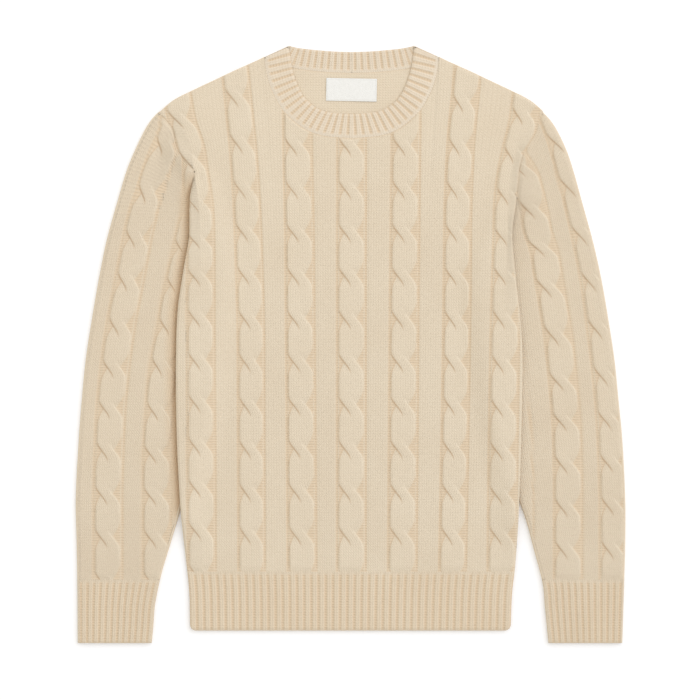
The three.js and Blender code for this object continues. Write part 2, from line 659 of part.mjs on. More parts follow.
/** A row across a sleeve: a straight row, bent up towards the armhole by its rise */
class SleeveRow {
  constructor(side, row) {
    this.side = side;
    this.sign = side === 'right' ? -1 : 1;
    this.base = row.y ?? SLEEVE_STRAIGHT_TOP[side];
    this.rise = row.rise ?? 0;
    this.atArmhole = this.rise === 1;
    const { ends, inner } = sleeveRowPlaces(side, this.base);
    this.outerX = side === 'right' ? ends[0] : ends[1];
    this.innerX = side === 'right' ? ends[1] : ends[0];
    this.sampled = inner;
    this.outerY = lerp(this.base, SHOULDER_TIP_Y, this.rise);
    this.innerY = lerp(this.base, UNDERARM_Y[side], this.rise);
    this.outerEdge = this.atArmhole
      ? armholePlace(side, 0)
      : new THREE.Vector2(edgeOf(SLEEVE_OUTER[side], this.outerY), this.outerY);
    this.innerEdge = this.atArmhole
      ? armholePlace(side, 1)
      : new THREE.Vector2(edgeOf(SLEEVE_INNER[side], this.innerY), this.innerY);
  }

  /** A place between the straight row and the armhole, before it is fitted to the folds */
  between(part) {
    const straight = new THREE.Vector2(lerp(this.outerX, this.innerX, part), this.base);
    return straight.lerp(armholePlace(this.side, part), this.rise);
  }

  /** A place on the row, a part of the way from the outer fold to the inner one */
  place(part) {
    const outerMiss = this.outerEdge.clone().sub(this.between(0));
    const innerMiss = this.innerEdge.clone().sub(this.between(1));
    return this.between(part).addScaledVector(outerMiss, 1 - part).addScaledVector(innerMiss, part);
  }

  lift(at) {
    return sleeveLift(this.side, at.x, at.y);
  }

  fold(edge, outward) {
    return { centre: edge.clone().addScaledVector(outward, -FOLD_OUTSIDE), outward, lift: this.lift(edge) };
  }

  outerFold() {
    const y = Math.min(this.outerY, SHOULDER_TIP_Y - SHOULDER_FOLD_MARGIN);
    const outward = this.atArmhole
      ? new THREE.Vector2(this.sign * SHOULDER_FOLD_DIRECTION.x, SHOULDER_FOLD_DIRECTION.y)
      : facing(SLEEVE_OUTER[this.side], y, this.sign);
    return this.fold(this.outerEdge, outward);
  }

  innerFold() {
    return this.fold(this.innerEdge, facing(SLEEVE_INNER[this.side], this.innerY, -this.sign));
  }

  /** Parts of the way across at which the upper layer has points */
  parts(outside) {
    if (this.atArmhole) {
      return Array.from({ length: ARMHOLE_STEPS - 1 }, (_, n) => (n + 1) / ARMHOLE_STEPS);
    }
    const chosen = outside ? this.sampled : this.sampled.filter((_, n) => n % INSIDE_PLACES_EVERY === 1);
    return chosen.map((x) => (x - this.outerX) / (this.innerX - this.outerX)).sort((a, b) => a - b);
  }

  /** The ring of points round the tube on its outside, or on its inside */
  ring(outside) {
    const radius = outside ? FOLD_OUTSIDE : FOLD_INSIDE;
    const upper = this.parts(outside).map((part) => {
      const at = this.place(part);
      const relief = outside && !this.atArmhole ? sleeveRelief(this.side, at.x, at.y) : 0;
      return new THREE.Vector3(at.x, at.y, TUBE_MIDDLE + radius + this.lift(at) + relief);
    });
    const lower = (this.atArmhole ? this.parts(outside) : SLEEVE_UNDERSIDE).map((part) => {
      const at = this.place(part);
      return new THREE.Vector3(at.x, at.y, TUBE_MIDDLE - radius + this.lift(at));
    });
    const folds = [this.outerFold(), this.innerFold()];
    const steps = outside ? FOLD_STEPS.outside : FOLD_STEPS.inside;
    if (this.side === 'right') return ring(upper, lower.reverse(), folds, radius, steps);
    return ring(upper.reverse(), lower, folds.reverse(), radius, steps);
  }
}

/** Rows of a sleeve, four to each crossing of its inner cable, or one in a few of them */
function sleeveRows(side, every) {
  const top = SLEEVE_STRAIGHT_TOP[side];
  const straight = crossingRows(SLEEVE_CABLES[side][0], CUFF_SEAM_Y, top).filter((_, n) => n % every === 0);
  const fan = SLEEVE_FAN.filter((_, n) => every === 1 || n % 2 === 0);
  const heights = [CUFF_SEAM_Y + SEAM_GAP / 2, ...straight, top];
  const rows = [...heights.map((y) => ({ y })), ...fan.map((rise) => ({ rise }))];
  return rows.map((row) => new SleeveRow(side, row));
}

function sleeve(side) {
  const outside = sleeveRows(side, 1).map((row) => row.ring(true));
  const inside = sleeveRows(side, INSIDE_ROWS_EVERY).map((row) => row.ring(false));
  return tube(outside, inside);
}

/** Height of ribbing at a step across it: a rib's top and the dip beside it take turns */
const ribHeight = (step) => (step % 2 === 0 ? -RIB_DIP : RIB_RISE);

/** A cuff: a short flattened tube with ribs along its upper layer */
function cuff(side) {
  const plainSteps = 4;
  const ringAt = (y, outside, share = 0) => {
    const ends = [edgeOf(SLEEVE_OUTER[side], y), edgeOf(SLEEVE_INNER[side], y)].sort((a, b) => a - b);
    const radius = outside ? FOLD_OUTSIDE : FOLD_INSIDE;
    const fold = (x, way) => ({
      centre: new THREE.Vector2(x - way * FOLD_OUTSIDE, y), outward: new THREE.Vector2(way, 0), lift: 0,
    });
    const at = (part) => lerp(ends[0] + FOLD_OUTSIDE, ends[1] - FOLD_OUTSIDE, part);
    const count = outside ? 2 * CUFF_RIBS : plainSteps;
    const upper = Array.from({ length: count - 1 }, (_, n) => (
      new THREE.Vector3(at((n + 1) / count), y, TUBE_MIDDLE + radius + share * ribHeight(n + 1))));
    const lower = [new THREE.Vector3(at(0.5), y, TUBE_MIDDLE - radius)];
    const steps = outside ? FOLD_STEPS.outside : FOLD_STEPS.inside;
    return ring(upper, lower, [fold(ends[0], -1), fold(ends[1], 1)], radius, steps);
  };
  const top = CUFF_SEAM_Y - SEAM_GAP / 2;
  const outside = [
    ringAt(CUFF_END_Y, true, RIB_SHARE.end),
    ringAt((top + CUFF_END_Y) / 2, true, RIB_SHARE.middle),
    ringAt(top, true, RIB_SHARE.seam),
  ];
  return tube(outside, [ringAt(CUFF_END_Y, false), ringAt(top, false)]);
}

/** One layer of the ribbed hem */
function hem(level, ribbed) {
  const top = HEM_SEAM_Y - SEAM_GAP / 2;
  const heights = [HEM_END_Y, (top + HEM_END_Y) / 2, top];
  const row = (y, steps, height) => Array.from({ length: steps + 1 }, (_, n) => {
    const x = lerp(bodyEdge('right', y), bodyEdge('left', y), n / steps);
    return new THREE.Vector3(x, y, level + height(n));
  });
  const plainSteps = 4;
  const steps = ribbed ? 2 * HEM_RIBS : plainSteps;
  const upper = heights.map((y) => row(y, steps, (n) => {
    if (!ribbed) return WALL;
    if (n === 0 || n === steps) return WALL - EDGE_ROUNDING;
    return WALL + ribHeight(n) * (y === HEM_END_Y ? RIB_SHARE.end : RIB_SHARE.middle);
  }));
  const lower = heights.map((y) => row(y, plainSteps, () => 0));
  return plate(upper, lower);
}

/** The neckband: one flattened ring of ribs, its front over its back, folded at the shoulders */
function neckband() {
  const rowAt = (edge, outside) => {
    const radius = outside ? FOLD_OUTSIDE : FOLD_INSIDE;
    const half = (table, ribs, height) => {
      const sections = table.length - 1;
      return Array.from({ length: 2 * ribs - 1 }, (_, n) => {
        const across = 1 - (n + 1) / ribs;
        const at = neckPoint(table, sections * (1 - Math.abs(across)), edge);
        return new THREE.Vector3(NECK_MIDDLE_X - Math.sign(across) * at.x, at.y, height(n + 1, at.x));
      });
    };
    const upper = half(NECK_FRONT, NECK_FRONT_RIBS, (n) => (
      TUBE_MIDDLE + radius + (outside ? ribHeight(n) : 0)));
    const lower = half(NECK_BACK, NECK_BACK_RIBS, (n, x) => {
      const grooved = !outside && n % 2 === 0 && x < NECK_INSIDE_GROOVES.reach;
      return TUBE_MIDDLE - radius - (grooved ? NECK_INSIDE_GROOVES.depth : 0);
    });
    const fold = (way) => {
      const at = neckPoint(NECK_FRONT, 0, edge);
      const outward = new THREE.Vector2(way * NECK_FOLD_DIRECTION.x, NECK_FOLD_DIRECTION.y).normalize();
      const centre = new THREE.Vector2(NECK_MIDDLE_X + way * at.x, at.y)
        .addScaledVector(outward, -FOLD_OUTSIDE);
      return { centre, outward, lift: 0 };
    };
    const steps = outside ? FOLD_STEPS.outside : FOLD_STEPS.inside;
    return ring(upper, lower.reverse(), [fold(-1), fold(1)], radius, steps);
  };
  return tube([rowAt('seam', true), rowAt('edge', true)], [rowAt('seam', false), rowAt('edge', false)]);
}

const group = new THREE.Group();

function add(name, geometry, finish) {
  const mesh = new THREE.Mesh(geometry, new THREE.MeshStandardMaterial(finish));
  mesh.name = name;
  group.add(mesh);
  return mesh;
}

add('back_panel', backPanel(), beige);
add('front_panel', frontPanel(), beige);
for (const side of ['right', 'left']) {
  add(`${side}_sleeve`, sleeve(side), beige);
  add(`${side}_cuff`, cuff(side), beige);
}
add('back_hem_rib', hem(0, false), beige);
add('front_hem_rib', hem(FRONT_LEVEL, true), beige);
add('neckband', neckband(), beige);

const label = add('neck_label', new THREE.BoxGeometry(LABEL.width, LABEL.height, LABEL.thickness), offWhite);
label.position.set(LABEL.x, LABEL.y, WALL + LABEL.gap + LABEL.thickness / 2);
label.rotation.z = LABEL.turn;

export default group;
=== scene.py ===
"""A crew-neck sweater in rope cables, knitted in oatmeal wool and laid flat with its front up.

The tables give places in millimetres, as the part's source does, and the meshes are in metres.
Right and left are the wearer's: right is at -X. Each piece of cloth is a closed shell of knitted
cloth on the form of the solid that it replaces.
"""

import logging
import math
from dataclasses import dataclass, field
from enum import Enum

import bmesh
import bpy
import numpy as np
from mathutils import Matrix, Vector


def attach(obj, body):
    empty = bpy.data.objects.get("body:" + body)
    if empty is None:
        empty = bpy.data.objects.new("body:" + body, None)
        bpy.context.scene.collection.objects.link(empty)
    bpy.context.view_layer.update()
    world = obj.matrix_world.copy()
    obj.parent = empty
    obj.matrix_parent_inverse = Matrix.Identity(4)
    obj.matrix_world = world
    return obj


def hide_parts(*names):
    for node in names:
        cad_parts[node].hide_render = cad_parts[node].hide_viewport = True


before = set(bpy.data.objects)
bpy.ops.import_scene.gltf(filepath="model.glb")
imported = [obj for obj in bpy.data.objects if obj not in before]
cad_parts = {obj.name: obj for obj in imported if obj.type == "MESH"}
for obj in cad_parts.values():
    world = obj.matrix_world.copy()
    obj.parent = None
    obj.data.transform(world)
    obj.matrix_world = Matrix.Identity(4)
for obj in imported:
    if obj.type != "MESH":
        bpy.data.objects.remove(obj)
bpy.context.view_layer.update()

log = logging.getLogger("sweater")

MM = 0.001
KNIT = "knit"
ROPE = "rope"

# Cloth
WALL = 2.4
LAYER_GAP = 0.4
FRONT_LEVEL = WALL + LAYER_GAP
TUBE_MIDDLE = WALL + LAYER_GAP / 2
FOLD_OUTSIDE = TUBE_MIDDLE
FOLD_INSIDE = LAYER_GAP / 2

# Heights up the garment
HEM_SEAM_Y = -264.0
HEM_END_Y = -332.8
CUFF_SEAM_Y = -273.4
CUFF_END_Y = -347.2
SHOULDER_TIP_Y = 269.5
STRAIGHT_ROWS_TOP_Y = 150.0

# How far the body's side is raised by the sleeve under it
SIDE_LIFT = 6.6
UNDERARM_LIFT = 3.0
LIFT_DROP = 25.0
LIFT_MARGIN = 4.0
LIFT_RAMP = 30.0
LIFT_FADE_NONE_Y = -242.0
LIFT_FADE_FULL_Y = -196.0
SLEEVE_SETTLE = 16.0

NECK_MIDDLE_X = 1.3


class Side(Enum):
    """The wearer's side of the garment."""

    RIGHT = "right"
    LEFT = "left"

    @property
    def sign(self) -> int:
        """Sign of X on this side."""
        return -1 if self is Side.RIGHT else 1


def smooth(low: float, high: float, value: np.ndarray) -> np.ndarray:
    """Eases from 0 at low to 1 at high."""
    part = np.clip((np.asarray(value, float) - low) / (high - low), 0.0, 1.0)
    return part * part * (3.0 - 2.0 * part)


def mix(start: np.ndarray, end: np.ndarray, part: np.ndarray) -> np.ndarray:
    """Goes from start at part 0 to end at part 1."""
    return start + (end - start) * part


class Curve:
    """A line eased through the rows of a table, and level beyond its ends."""

    def __init__(self, rows: tuple) -> None:
        """Keeps the table in rising order.

        Args:
            rows: Pairs of a key and a value.
        """
        ordered = sorted(rows)
        self.keys = np.array([row[0] for row in ordered], float)
        self.values = np.array([row[1] for row in ordered], float)
        steps = np.diff(self.values) / np.diff(self.keys)
        inner = (self.values[2:] - self.values[:-2]) / (self.keys[2:] - self.keys[:-2])
        self.slopes = np.concatenate([steps[:1], inner, steps[-1:]])

    def at(self, key: np.ndarray) -> np.ndarray:
        """Value at a key, or at each key of an array.

        Args:
            key: Where to read the line.

        Returns:
            The values, in the shape of key.
        """
        key = np.clip(np.asarray(key, float), self.keys[0], self.keys[-1])
        row = np.clip(np.searchsorted(self.keys, key, side="right") - 1, 0, len(self.keys) - 2)
        span = self.keys[row + 1] - self.keys[row]
        part = (key - self.keys[row]) / span
        eased = part * part * (3.0 - 2.0 * part)
        bend = span * part * (1.0 - part)
        bend = bend * ((1.0 - part) * self.slopes[row] - part * self.slopes[row + 1])
        return mix(self.values[row], self.values[row + 1], eased) + bend


# Edge of the body on each side: the armhole seam down to the underarm, then the side
BODY_EDGE = {
    Side.RIGHT: Curve((
        (269.5, -224), (260, -214.4), (251, -207.1), (230, -202.4), (224, -199.6), (212, -192.2),
        (200, -181.6), (170, -186.3), (122, -187.2), (102, -191), (73, -195.8), (46, -199.8),
        (15, -201.8), (-51, -202.5), (-118, -201.1), (-157, -199.2), (-191, -197.1),
        (-242, -192.3), (-285, -187.6), (-328, -186.4),
    )),
    Side.LEFT: Curve((
        (269.5, 224), (261, 219.6), (245, 214.5), (236, 209), (223, 201.9), (202, 196.4),
        (171, 193.1), (131, 187.6), (104, 189), (78, 191.6), (28, 197.1), (-18, 199.4),
        (-111, 197.8), (-183, 195.5), (-220, 194), (-257, 191.6), (-290, 187.8), (-330, 186.2),
    )),
}
UNDERARM_Y = {Side.RIGHT: 200.0, Side.LEFT: 171.0}

# Edges of each sleeve as it lies: its outer fold, and its inner fold, partly under the body
SLEEVE_OUTER = {
    Side.RIGHT: Curve((
        (269.5, -224.5), (260, -232.6), (249, -239.5), (225, -251.1), (202, -260.4),
        (167, -270.9), (121, -283.6), (75, -292.9), (28, -301), (-18, -308), (-65, -312.6),
        (-111, -316.1), (-181, -319.6), (-227, -318.6), (-273, -317.8), (-347, -317.3),
    )),
    Side.LEFT: Curve((
        (269.5, 224.5), (260, 233), (249, 240.2), (225, 251.5), (202, 259.2), (167, 268.9),
        (121, 281.6), (75, 291.9), (28, 300), (-18, 307), (-65, 311.7), (-111, 316.1),
        (-181, 319.5), (-227, 319.6), (-273, 318.4), (-347, 316.1),
    )),
}
SLEEVE_INNER = {
    Side.RIGHT: Curve((
        (200, -179.4), (196, -178.8), (189, -177.2), (170, -173.5), (150, -168.2), (121, -161.2),
        (75, -157.2), (28, -159.5), (-18, -165.3), (-65, -172.3), (-111, -180.4), (-157, -189.7),
        (-192, -197.6), (-232, -209.4), (-266, -219.6), (-302, -227.2), (-328, -229.4),
        (-347, -231.2),
    )),
    Side.LEFT: Curve((
        (171, 190.6), (167, 189.6), (160, 187), (140, 179), (121, 170), (98, 161.5), (75, 157.5),
        (28, 159.5), (-18, 165.3), (-65, 172.3), (-111, 180.4), (-157, 189.7), (-183, 196.5),
        (-204, 204), (-239, 213.4), (-278, 223.5), (-305, 226.1), (-347, 230.2),
    )),
}
SLEEVE_STRAIGHT_TOP_Y = {Side.RIGHT: 150.0, Side.LEFT: 120.0}

# Top of both panels from the neck out to the shoulder tip, by distance from the neck's middle
SHOULDER_LINE = Curve((
    (101.4, 334.1), (110, 329.8), (136, 318.2), (160.5, 306.6), (185, 295), (207.5, 283.4),
    (224, 269.5),
))

# Middle lines of the seven cables of the front, by height
CABLE_HEIGHTS = (325, 288, 260, 232, 202, 163, 124, 28, -65, -264)
CABLE_PLACES = (
    (-207, -201.3, -196, -186.7, -181.8, -175.7, -174, -173.7, -173.4, -172.9),
    (-135, -131, -128.2, -125.4, -123, -120.6, -118.9, -116, -115.6, -115),
    (-62, -62, -61.7, -61.5, -61, -60.1, -59.4, -58.6, -57.8, -56.3),
    (1.2, 1.2, 1.2, 1.2, 1.2, 1.2, 1, 0.9, 0.9, 0.9),
    (64.6, 64.6, 64.5, 64.2, 63.9, 63.5, 63.1, 62.1, 61.5, 60),
    (136.3, 133.2, 130.3, 127.9, 126.4, 124.8, 124.2, 123.2, 121.9, 118.3),
    (210, 204.7, 201.2, 194.3, 187.9, 183.3, 182, 179.2, 177.5, 175.7),
)
BODY_CABLES = tuple(Curve(tuple(zip(CABLE_HEIGHTS, places))) for places in CABLE_PLACES)


def crossings(*heights: float) -> Curve:
    """Crossings counted down a cable, from the height of each one, with even steps past the ends."""
    count = len(heights)
    top = (heights[0] + 200.0, -4.0)
    bottom = (heights[-1] - 200.0, count + 3.0)
    return Curve((top, *zip(heights, range(count)), bottom))


# Where the strands of each cable cross, by height. The outer cables drift from the even ones.
EVEN_CROSSINGS = crossings(280.2, 230, 179.8, 129.6, 79.4, 29.2, -21, -71.2, -121.4, -171.6, -221.8)
BODY_CROSSINGS = (
    crossings(262, 213.8, 163, 120, 78, 30.5, -19, -67.7, -117.6, -166.3, -216.2),
    crossings(287, 233.5, 180, 130.6, 80, 29.2, -21, -71.2, -121.4, -171.6, -221.8),
    EVEN_CROSSINGS,
    EVEN_CROSSINGS,
    EVEN_CROSSINGS,
    EVEN_CROSSINGS,
    crossings(265.5, 221, 172.5, 124.5, 79.5, 29.7, -22.5, -73.5, -123.4, -174.5, -222),
)


@dataclass(frozen=True)
class SleeveCable:
    """One cable that shows on a sleeve: where its strands cross, and its middle line."""

    crossings: Curve
    line: Curve


SLEEVE_CABLES = {
    Side.RIGHT: (
        SleeveCable(crossings(231.5, 175.5, 123.3, 73.4, 21.2, -27.5, -75, -123.8, -174.8, -224.7), Curve((
            (252, -205.3), (225, -216.5), (203, -225.3), (180, -232.6), (153, -241),
            (124, -247.6), (73, -257.2), (26, -266.2), (-23, -273.2), (-74, -278.2),
            (-123, -280.5), (-169, -281.9),
        ))),
        SleeveCable(crossings(163, 112.6, 68.7, 21, -25.4, -77.7, -127.5, -176.5, -225.3), Curve((
            (162, -178.1), (124, -187.9), (87, -195.5), (63, -201.3), (19, -208.8),
            (-28, -217.5), (-79, -222.1), (-126, -225),
        ))),
    ),
    Side.LEFT: (
        SleeveCable(crossings(156.4, 111.6, 66, 10.4, -43, -89.6, -139.6, -189.6, -238.4), Curve((
            (223, 187.3), (202, 200.7), (180, 207.1), (156, 212.9), (131, 217.7), (108, 225),
            (78, 230), (51, 234.7), (5, 241.9), (-50, 247.4), (-96, 251.1), (-151, 252.6),
        ))),
        SleeveCable(crossings(233.9, 182.8, 127.1, 73.4, 18.1, -36.4, -87.5, -137.3, -187.2, -238.3), Curve((
            (262, 235.5), (232, 246.5), (180, 260.4), (127, 273.2), (73, 284.1), (17, 291.7),
            (-35, 298), (-88, 302.6), (-140, 305), (-191, 306.2),
        ))),
    ),
}

# One more purl channel, which shows beside the left sleeve's inner fold
LEFT_INNER_CHANNEL = Curve(((40, 190), (-18, 200.9), (-65, 207), (-142, 211.7), (-239, 213)))


@dataclass(frozen=True)
class Crease:
    """A soft trough or raised fold in the cloth, between two places."""

    x: float
    y: float
    end_x: float
    end_y: float
    width: float
    height: float

    def rise(self, x: np.ndarray, y: np.ndarray) -> np.ndarray:
        """How far it raises each place, or sinks it where its height is below 0."""
        run = np.array([self.end_x - self.x, self.end_y - self.y], float)
        length = np.hypot(*run)
        along = ((x - self.x) * run[0] + (y - self.y) * run[1]) / length
        beside = ((x - self.x) * run[1] - (y - self.y) * run[0]) / length
        part = np.clip(along / length, 0, 1)
        past = along - part * length
        profile = np.exp(-(beside / self.width) ** 2 - (past / (1.6 * self.width)) ** 2)
        return self.height * profile * (0.55 + 0.45 * np.sin(np.pi * part))


# Creases of the front, of the sleeves' upper layers and of the hidden layers below
FRONT_CREASES = (
    Crease(-178, 216, -170, 176, 6.5, -1.1),
    Crease(-196, 236, -181, 214, 5.0, -0.7),
    Crease(-164, 214, -158, 158, 7.5, 0.7),
    Crease(-150, 262, -139, 226, 9.0, -0.45),
    Crease(196, 232, 186, 196, 5.5, -0.6),
    Crease(178, 216, 171, 160, 8.0, 0.55),
    Crease(183, 168, 168, 120, 7.0, -0.5),
    Crease(-176, 128, -158, 92, 8.5, -0.45),
    Crease(152, 60, 150, -40, 11.0, -0.4),
    Crease(-149, -60, -146, -150, 11.0, -0.35),
    Crease(148, -120, 146, -205, 10.0, 0.35),
    Crease(-92, 214, -88, 150, 10.0, -0.3),
    Crease(96, 205, 95, 130, 10.0, -0.3),
    Crease(-60, -232, 20, -240, 8.0, -0.2),
)
SLEEVE_CREASES = {
    Side.RIGHT: (
        Crease(-221, 240, -222, 196, 5.5, -1.2),
        Crease(-206, 208, -192, 176, 7.0, -0.9),
        Crease(-232, 206, -228, 160, 6.5, -0.5),
        Crease(-204, 182, -214, 150, 8.0, -0.6),
        Crease(-240, 120, -262, 84, 8.0, -0.4),
        Crease(-232, 22, -262, -8, 9.0, -0.35),
        Crease(-245, -90, -266, -150, 8.5, 0.35),
        Crease(-258, -190, -280, -236, 9.0, -0.4),
    ),
    Side.LEFT: (
        Crease(216, 246, 206, 204, 6.0, -0.7),
        Crease(228, 214, 236, 160, 7.0, -0.5),
        Crease(204, 196, 222, 150, 7.5, 0.5),
        Crease(240, 150, 252, 96, 8.0, -0.45),
        Crease(236, 92, 262, 40, 8.5, -0.4),
        Crease(262, -20, 280, -84, 8.5, -0.35),
        Crease(250, -140, 276, -186, 9.0, 0.35),
        Crease(262, -206, 290, -240, 9.0, -0.4),
    ),
}
BACK_CREASES = (
    Crease(-120, 230, -96, 150, 11.0, 0.5),
    Crease(118, 222, 92, 138, 12.0, 0.45),
    Crease(-40, 262, 36, 254, 10.0, 0.4),
    Crease(-110, -20, -82, -130, 13.0, 0.45),
    Crease(104, -60, 88, -170, 12.0, 0.5),
    Crease(-30, -150, 44, -196, 12.0, 0.35),
)
SLEEVE_UNDER_CREASES = (
    Crease(236, 190, 214, 130, 8.0, 0.5),
    Crease(226, 96, 258, 30, 8.5, 0.45),
    Crease(262, -26, 244, -104, 8.0, 0.5),
    Crease(254, -150, 284, -214, 8.5, 0.45),
)


def crease_rise(creases: tuple, x: np.ndarray, y: np.ndarray) -> np.ndarray:
    """Sum of what a group of creases raises each place by."""
    return sum(crease.rise(x, y) for crease in creases)


class Pattern:
    """The flat form of the garment: how high each place of it lies."""

    @staticmethod
    def side_edge(x: np.ndarray, y: np.ndarray) -> np.ndarray:
        """Distance from the middle to the body's edge, on the side where each place is."""
        return np.where(x < 0, -BODY_EDGE[Side.RIGHT].at(y), BODY_EDGE[Side.LEFT].at(y))

    @staticmethod
    def underarm(x: np.ndarray) -> np.ndarray:
        """Height of the underarm on the side where each place is."""
        return np.where(x < 0, UNDERARM_Y[Side.RIGHT], UNDERARM_Y[Side.LEFT])

    @staticmethod
    def body_lift(x: np.ndarray, y: np.ndarray) -> np.ndarray:
        """How far the body is raised off the surface, by the sleeve under its side.

        Args:
            x: Places across, in millimetres.
            y: Places up the garment.

        Returns:
            The lift at each place.
        """
        lifts = []
        for side in Side:
            underarm = UNDERARM_Y[side]
            edge = np.abs(BODY_EDGE[side].at(y))
            low = SIDE_LIFT * smooth(LIFT_FADE_NONE_Y, LIFT_FADE_FULL_Y, y)
            settled = smooth(0, LIFT_DROP, underarm - y)
            low = np.minimum(low, mix(UNDERARM_LIFT, SIDE_LIFT, settled))
            down = np.clip((SHOULDER_TIP_Y - y) / (SHOULDER_TIP_Y - underarm), 0, 1)
            lift = np.where(y >= underarm, UNDERARM_LIFT * down * down, low)
            shelf = np.maximum(0, edge - np.abs(SLEEVE_INNER[side].at(y))) + LIFT_MARGIN
            shelf = np.where(y >= underarm, 0, shelf)
            lifts.append(lift * (1 - smooth(0, LIFT_RAMP, edge - shelf - np.abs(x))))
        return np.where(x < 0, lifts[0], lifts[1])

    @staticmethod
    def sleeve_lift(side: Side, x: np.ndarray, y: np.ndarray) -> np.ndarray:
        """How far a sleeve is raised beside the armhole, where it is sewn to the raised body."""
        underarm = UNDERARM_Y[side]
        down = np.clip((SHOULDER_TIP_Y - y) / (SHOULDER_TIP_Y - underarm), 0, 1)
        settled = smooth(0, SLEEVE_SETTLE, underarm - y)
        away = np.abs(x) - np.abs(BODY_EDGE[side].at(y))
        return UNDERARM_LIFT * down * down * (1 - settled) * (1 - smooth(0, LIFT_DROP, away))


@dataclass
class Relief:
    """What the cables do at each place of the cloth.

    Attributes:
        height: Height over the plain cloth, in millimetres.
        hollow: How far the place is a purl hollow, 0 to 1.
        painted_shading: Painted shade and highlight on the place: 1 paints the hollow shade of a channel, 2
            the painted deep shade, and below 0 a painted highlight where light falls from beside.
        shift: How far the stitches there have moved across.
        across: Distance from the cable's middle line.
        turns: Crossings counted down the cable.
        strength: 1 on a cable, 0 on plain cloth.
    """

    height: np.ndarray
    hollow: np.ndarray
    painted_shading: np.ndarray
    shift: np.ndarray
    across: np.ndarray
    turns: np.ndarray
    strength: np.ndarray

    @classmethod
    def plain(cls, like: np.ndarray) -> "Relief":
        """Relief of plain cloth on a grid of the same shape."""
        return cls(*(np.zeros_like(like) for _ in range(7)))

    def over(self, other: "Relief", near: np.ndarray) -> "Relief":
        """Takes this relief where a place is near its cable, and the other one elsewhere."""
        names = self.__dataclass_fields__
        return Relief(*(np.where(near, getattr(self, name), getattr(other, name)) for name in names))


@dataclass(frozen=True)
class RopeCable:
    """A rope of two strands that cross at even steps, between two purl channels."""

    repeat: float = 50.2
    rise: float = 1.6
    half: float = 14.8
    strand_offset: float = 6.8
    strand_half: float = 8.0
    channel_width: float = 3.4
    channel_depth: float = 0.75
    purl_level: float = -0.5
    crossing_length: float = 25.0
    crossing_start: float = 0.65
    under_length: float = 38.0
    under_start: float = -3.0
    under_narrowing: float = 0.6
    under_dip: float = 1.15
    under_dip_middle: float = 1.5
    flatness: float = 4.0
    body_flatness: float = 14.0
    wales_moved: float = 2.0
    wale: float = 2.9

    def dome(self, across: np.ndarray, half: np.ndarray) -> np.ndarray:
        """Round profile of a strand, 1 on its middle and 0 at its edges."""
        return np.sqrt(np.maximum(0, 1 - np.abs(across / half) ** self.flatness))

    def over_lead(self, below: np.ndarray) -> np.ndarray:
        """How far the upper strand has moved across, from -1 above the crossing to 1 below it."""
        off = below - self.crossing_start
        return 2 * smooth(-self.crossing_length / 2, self.crossing_length / 2, off) - 1

    def under_lead(self, below: np.ndarray) -> np.ndarray:
        """How far the lower strand has moved across, from -1 above the crossing to 1 below it."""
        off = below - self.under_start
        return 2 * smooth(-self.under_length / 2, self.under_length / 2, off) - 1

    def rope(self, across: np.ndarray, below: np.ndarray) -> tuple[np.ndarray, np.ndarray]:
        """The rope itself, whose strand from the upper left passes over the other one.

        Args:
            across: Places across the cable.
            below: Distances below the nearest crossing.

        Returns:
            The height over the plain cloth, and how near each place is to the crown of its strand.
        """
        over_at = self.strand_offset * self.over_lead(below)
        under_at = -self.strand_offset * self.under_lead(below)
        near = 1 - smooth(3, 14, np.abs(below - self.under_dip_middle))
        over = self.dome(across - over_at, self.strand_half)
        under_half = self.strand_half - self.under_narrowing * near
        under = self.dome(across - under_at, under_half)
        dipped = self.rise * under - self.under_dip * near
        top = np.maximum(self.rise * over, dipped)
        crown = np.maximum(over, under)
        left = np.minimum(over_at - self.strand_half, under_at - under_half)
        right = np.maximum(over_at + self.strand_half, under_at + under_half)
        off = np.abs((2 * across - left - right) / (right - left))
        body = np.sqrt(np.maximum(0, 1 - off ** self.body_flatness))
        merged = 0.9 * smooth(6, 21, np.abs(below))
        height = np.maximum(top, mix(top, self.rise * body, merged))
        return np.maximum(height, self.purl_level), np.maximum(crown, mix(crown, body, merged))

    def relief(self, across: np.ndarray, turns: np.ndarray) -> Relief:
        """Relief of the cable and the channels beside it.

        Args:
            across: Places across the cable.
            turns: Crossings counted down the cable.

        Returns:
            The relief, level beyond the channels.
        """
        below = (turns - np.round(turns)) * self.repeat
        top, crown = self.rope(across, below)
        out = np.abs(across)
        into = np.clip((out - self.half) / self.channel_width, 0, 1)
        channel = np.sin(np.pi * into)
        inside = out < self.half
        height = np.where(inside, top, -self.channel_depth * channel)
        hollow = np.where(inside, 1 - smooth(0.0, 0.4, crown), np.sqrt(np.maximum(channel, 0)))
        # Painted shade in the channels and on the strands' flanks, where their crowns fall away.
        painted_shading = np.where(inside, np.maximum(hollow, 0.9 * (1 - smooth(0.2, 0.85, crown))), hollow)
        moved = self.wales_moved * self.wale
        slide = moved * (1 + self.over_lead(below) + 2 * np.round(turns))
        shift = np.where(out < self.half + self.channel_width / 2, -slide, 0.0)
        strength = 1 - smooth(self.half, self.half + self.channel_width, out)
        return Relief(height, hollow, painted_shading, shift, across, turns, strength)


BODY_CABLE_WIDTHS = (0.97, 0.93, 1.0, 1.0, 1.0, 0.95, 1.0)
CABLE = RopeCable()

# Offsets from a cable's middle line at which columns of points run up the panels
CABLE_OFFSETS = (0, 1.6, 3.2, 4.8, 6.4, 8, 9.6, 11.2, 12.8, 14, 14.8, 15.6, 16.5, 17.4, 18.7)


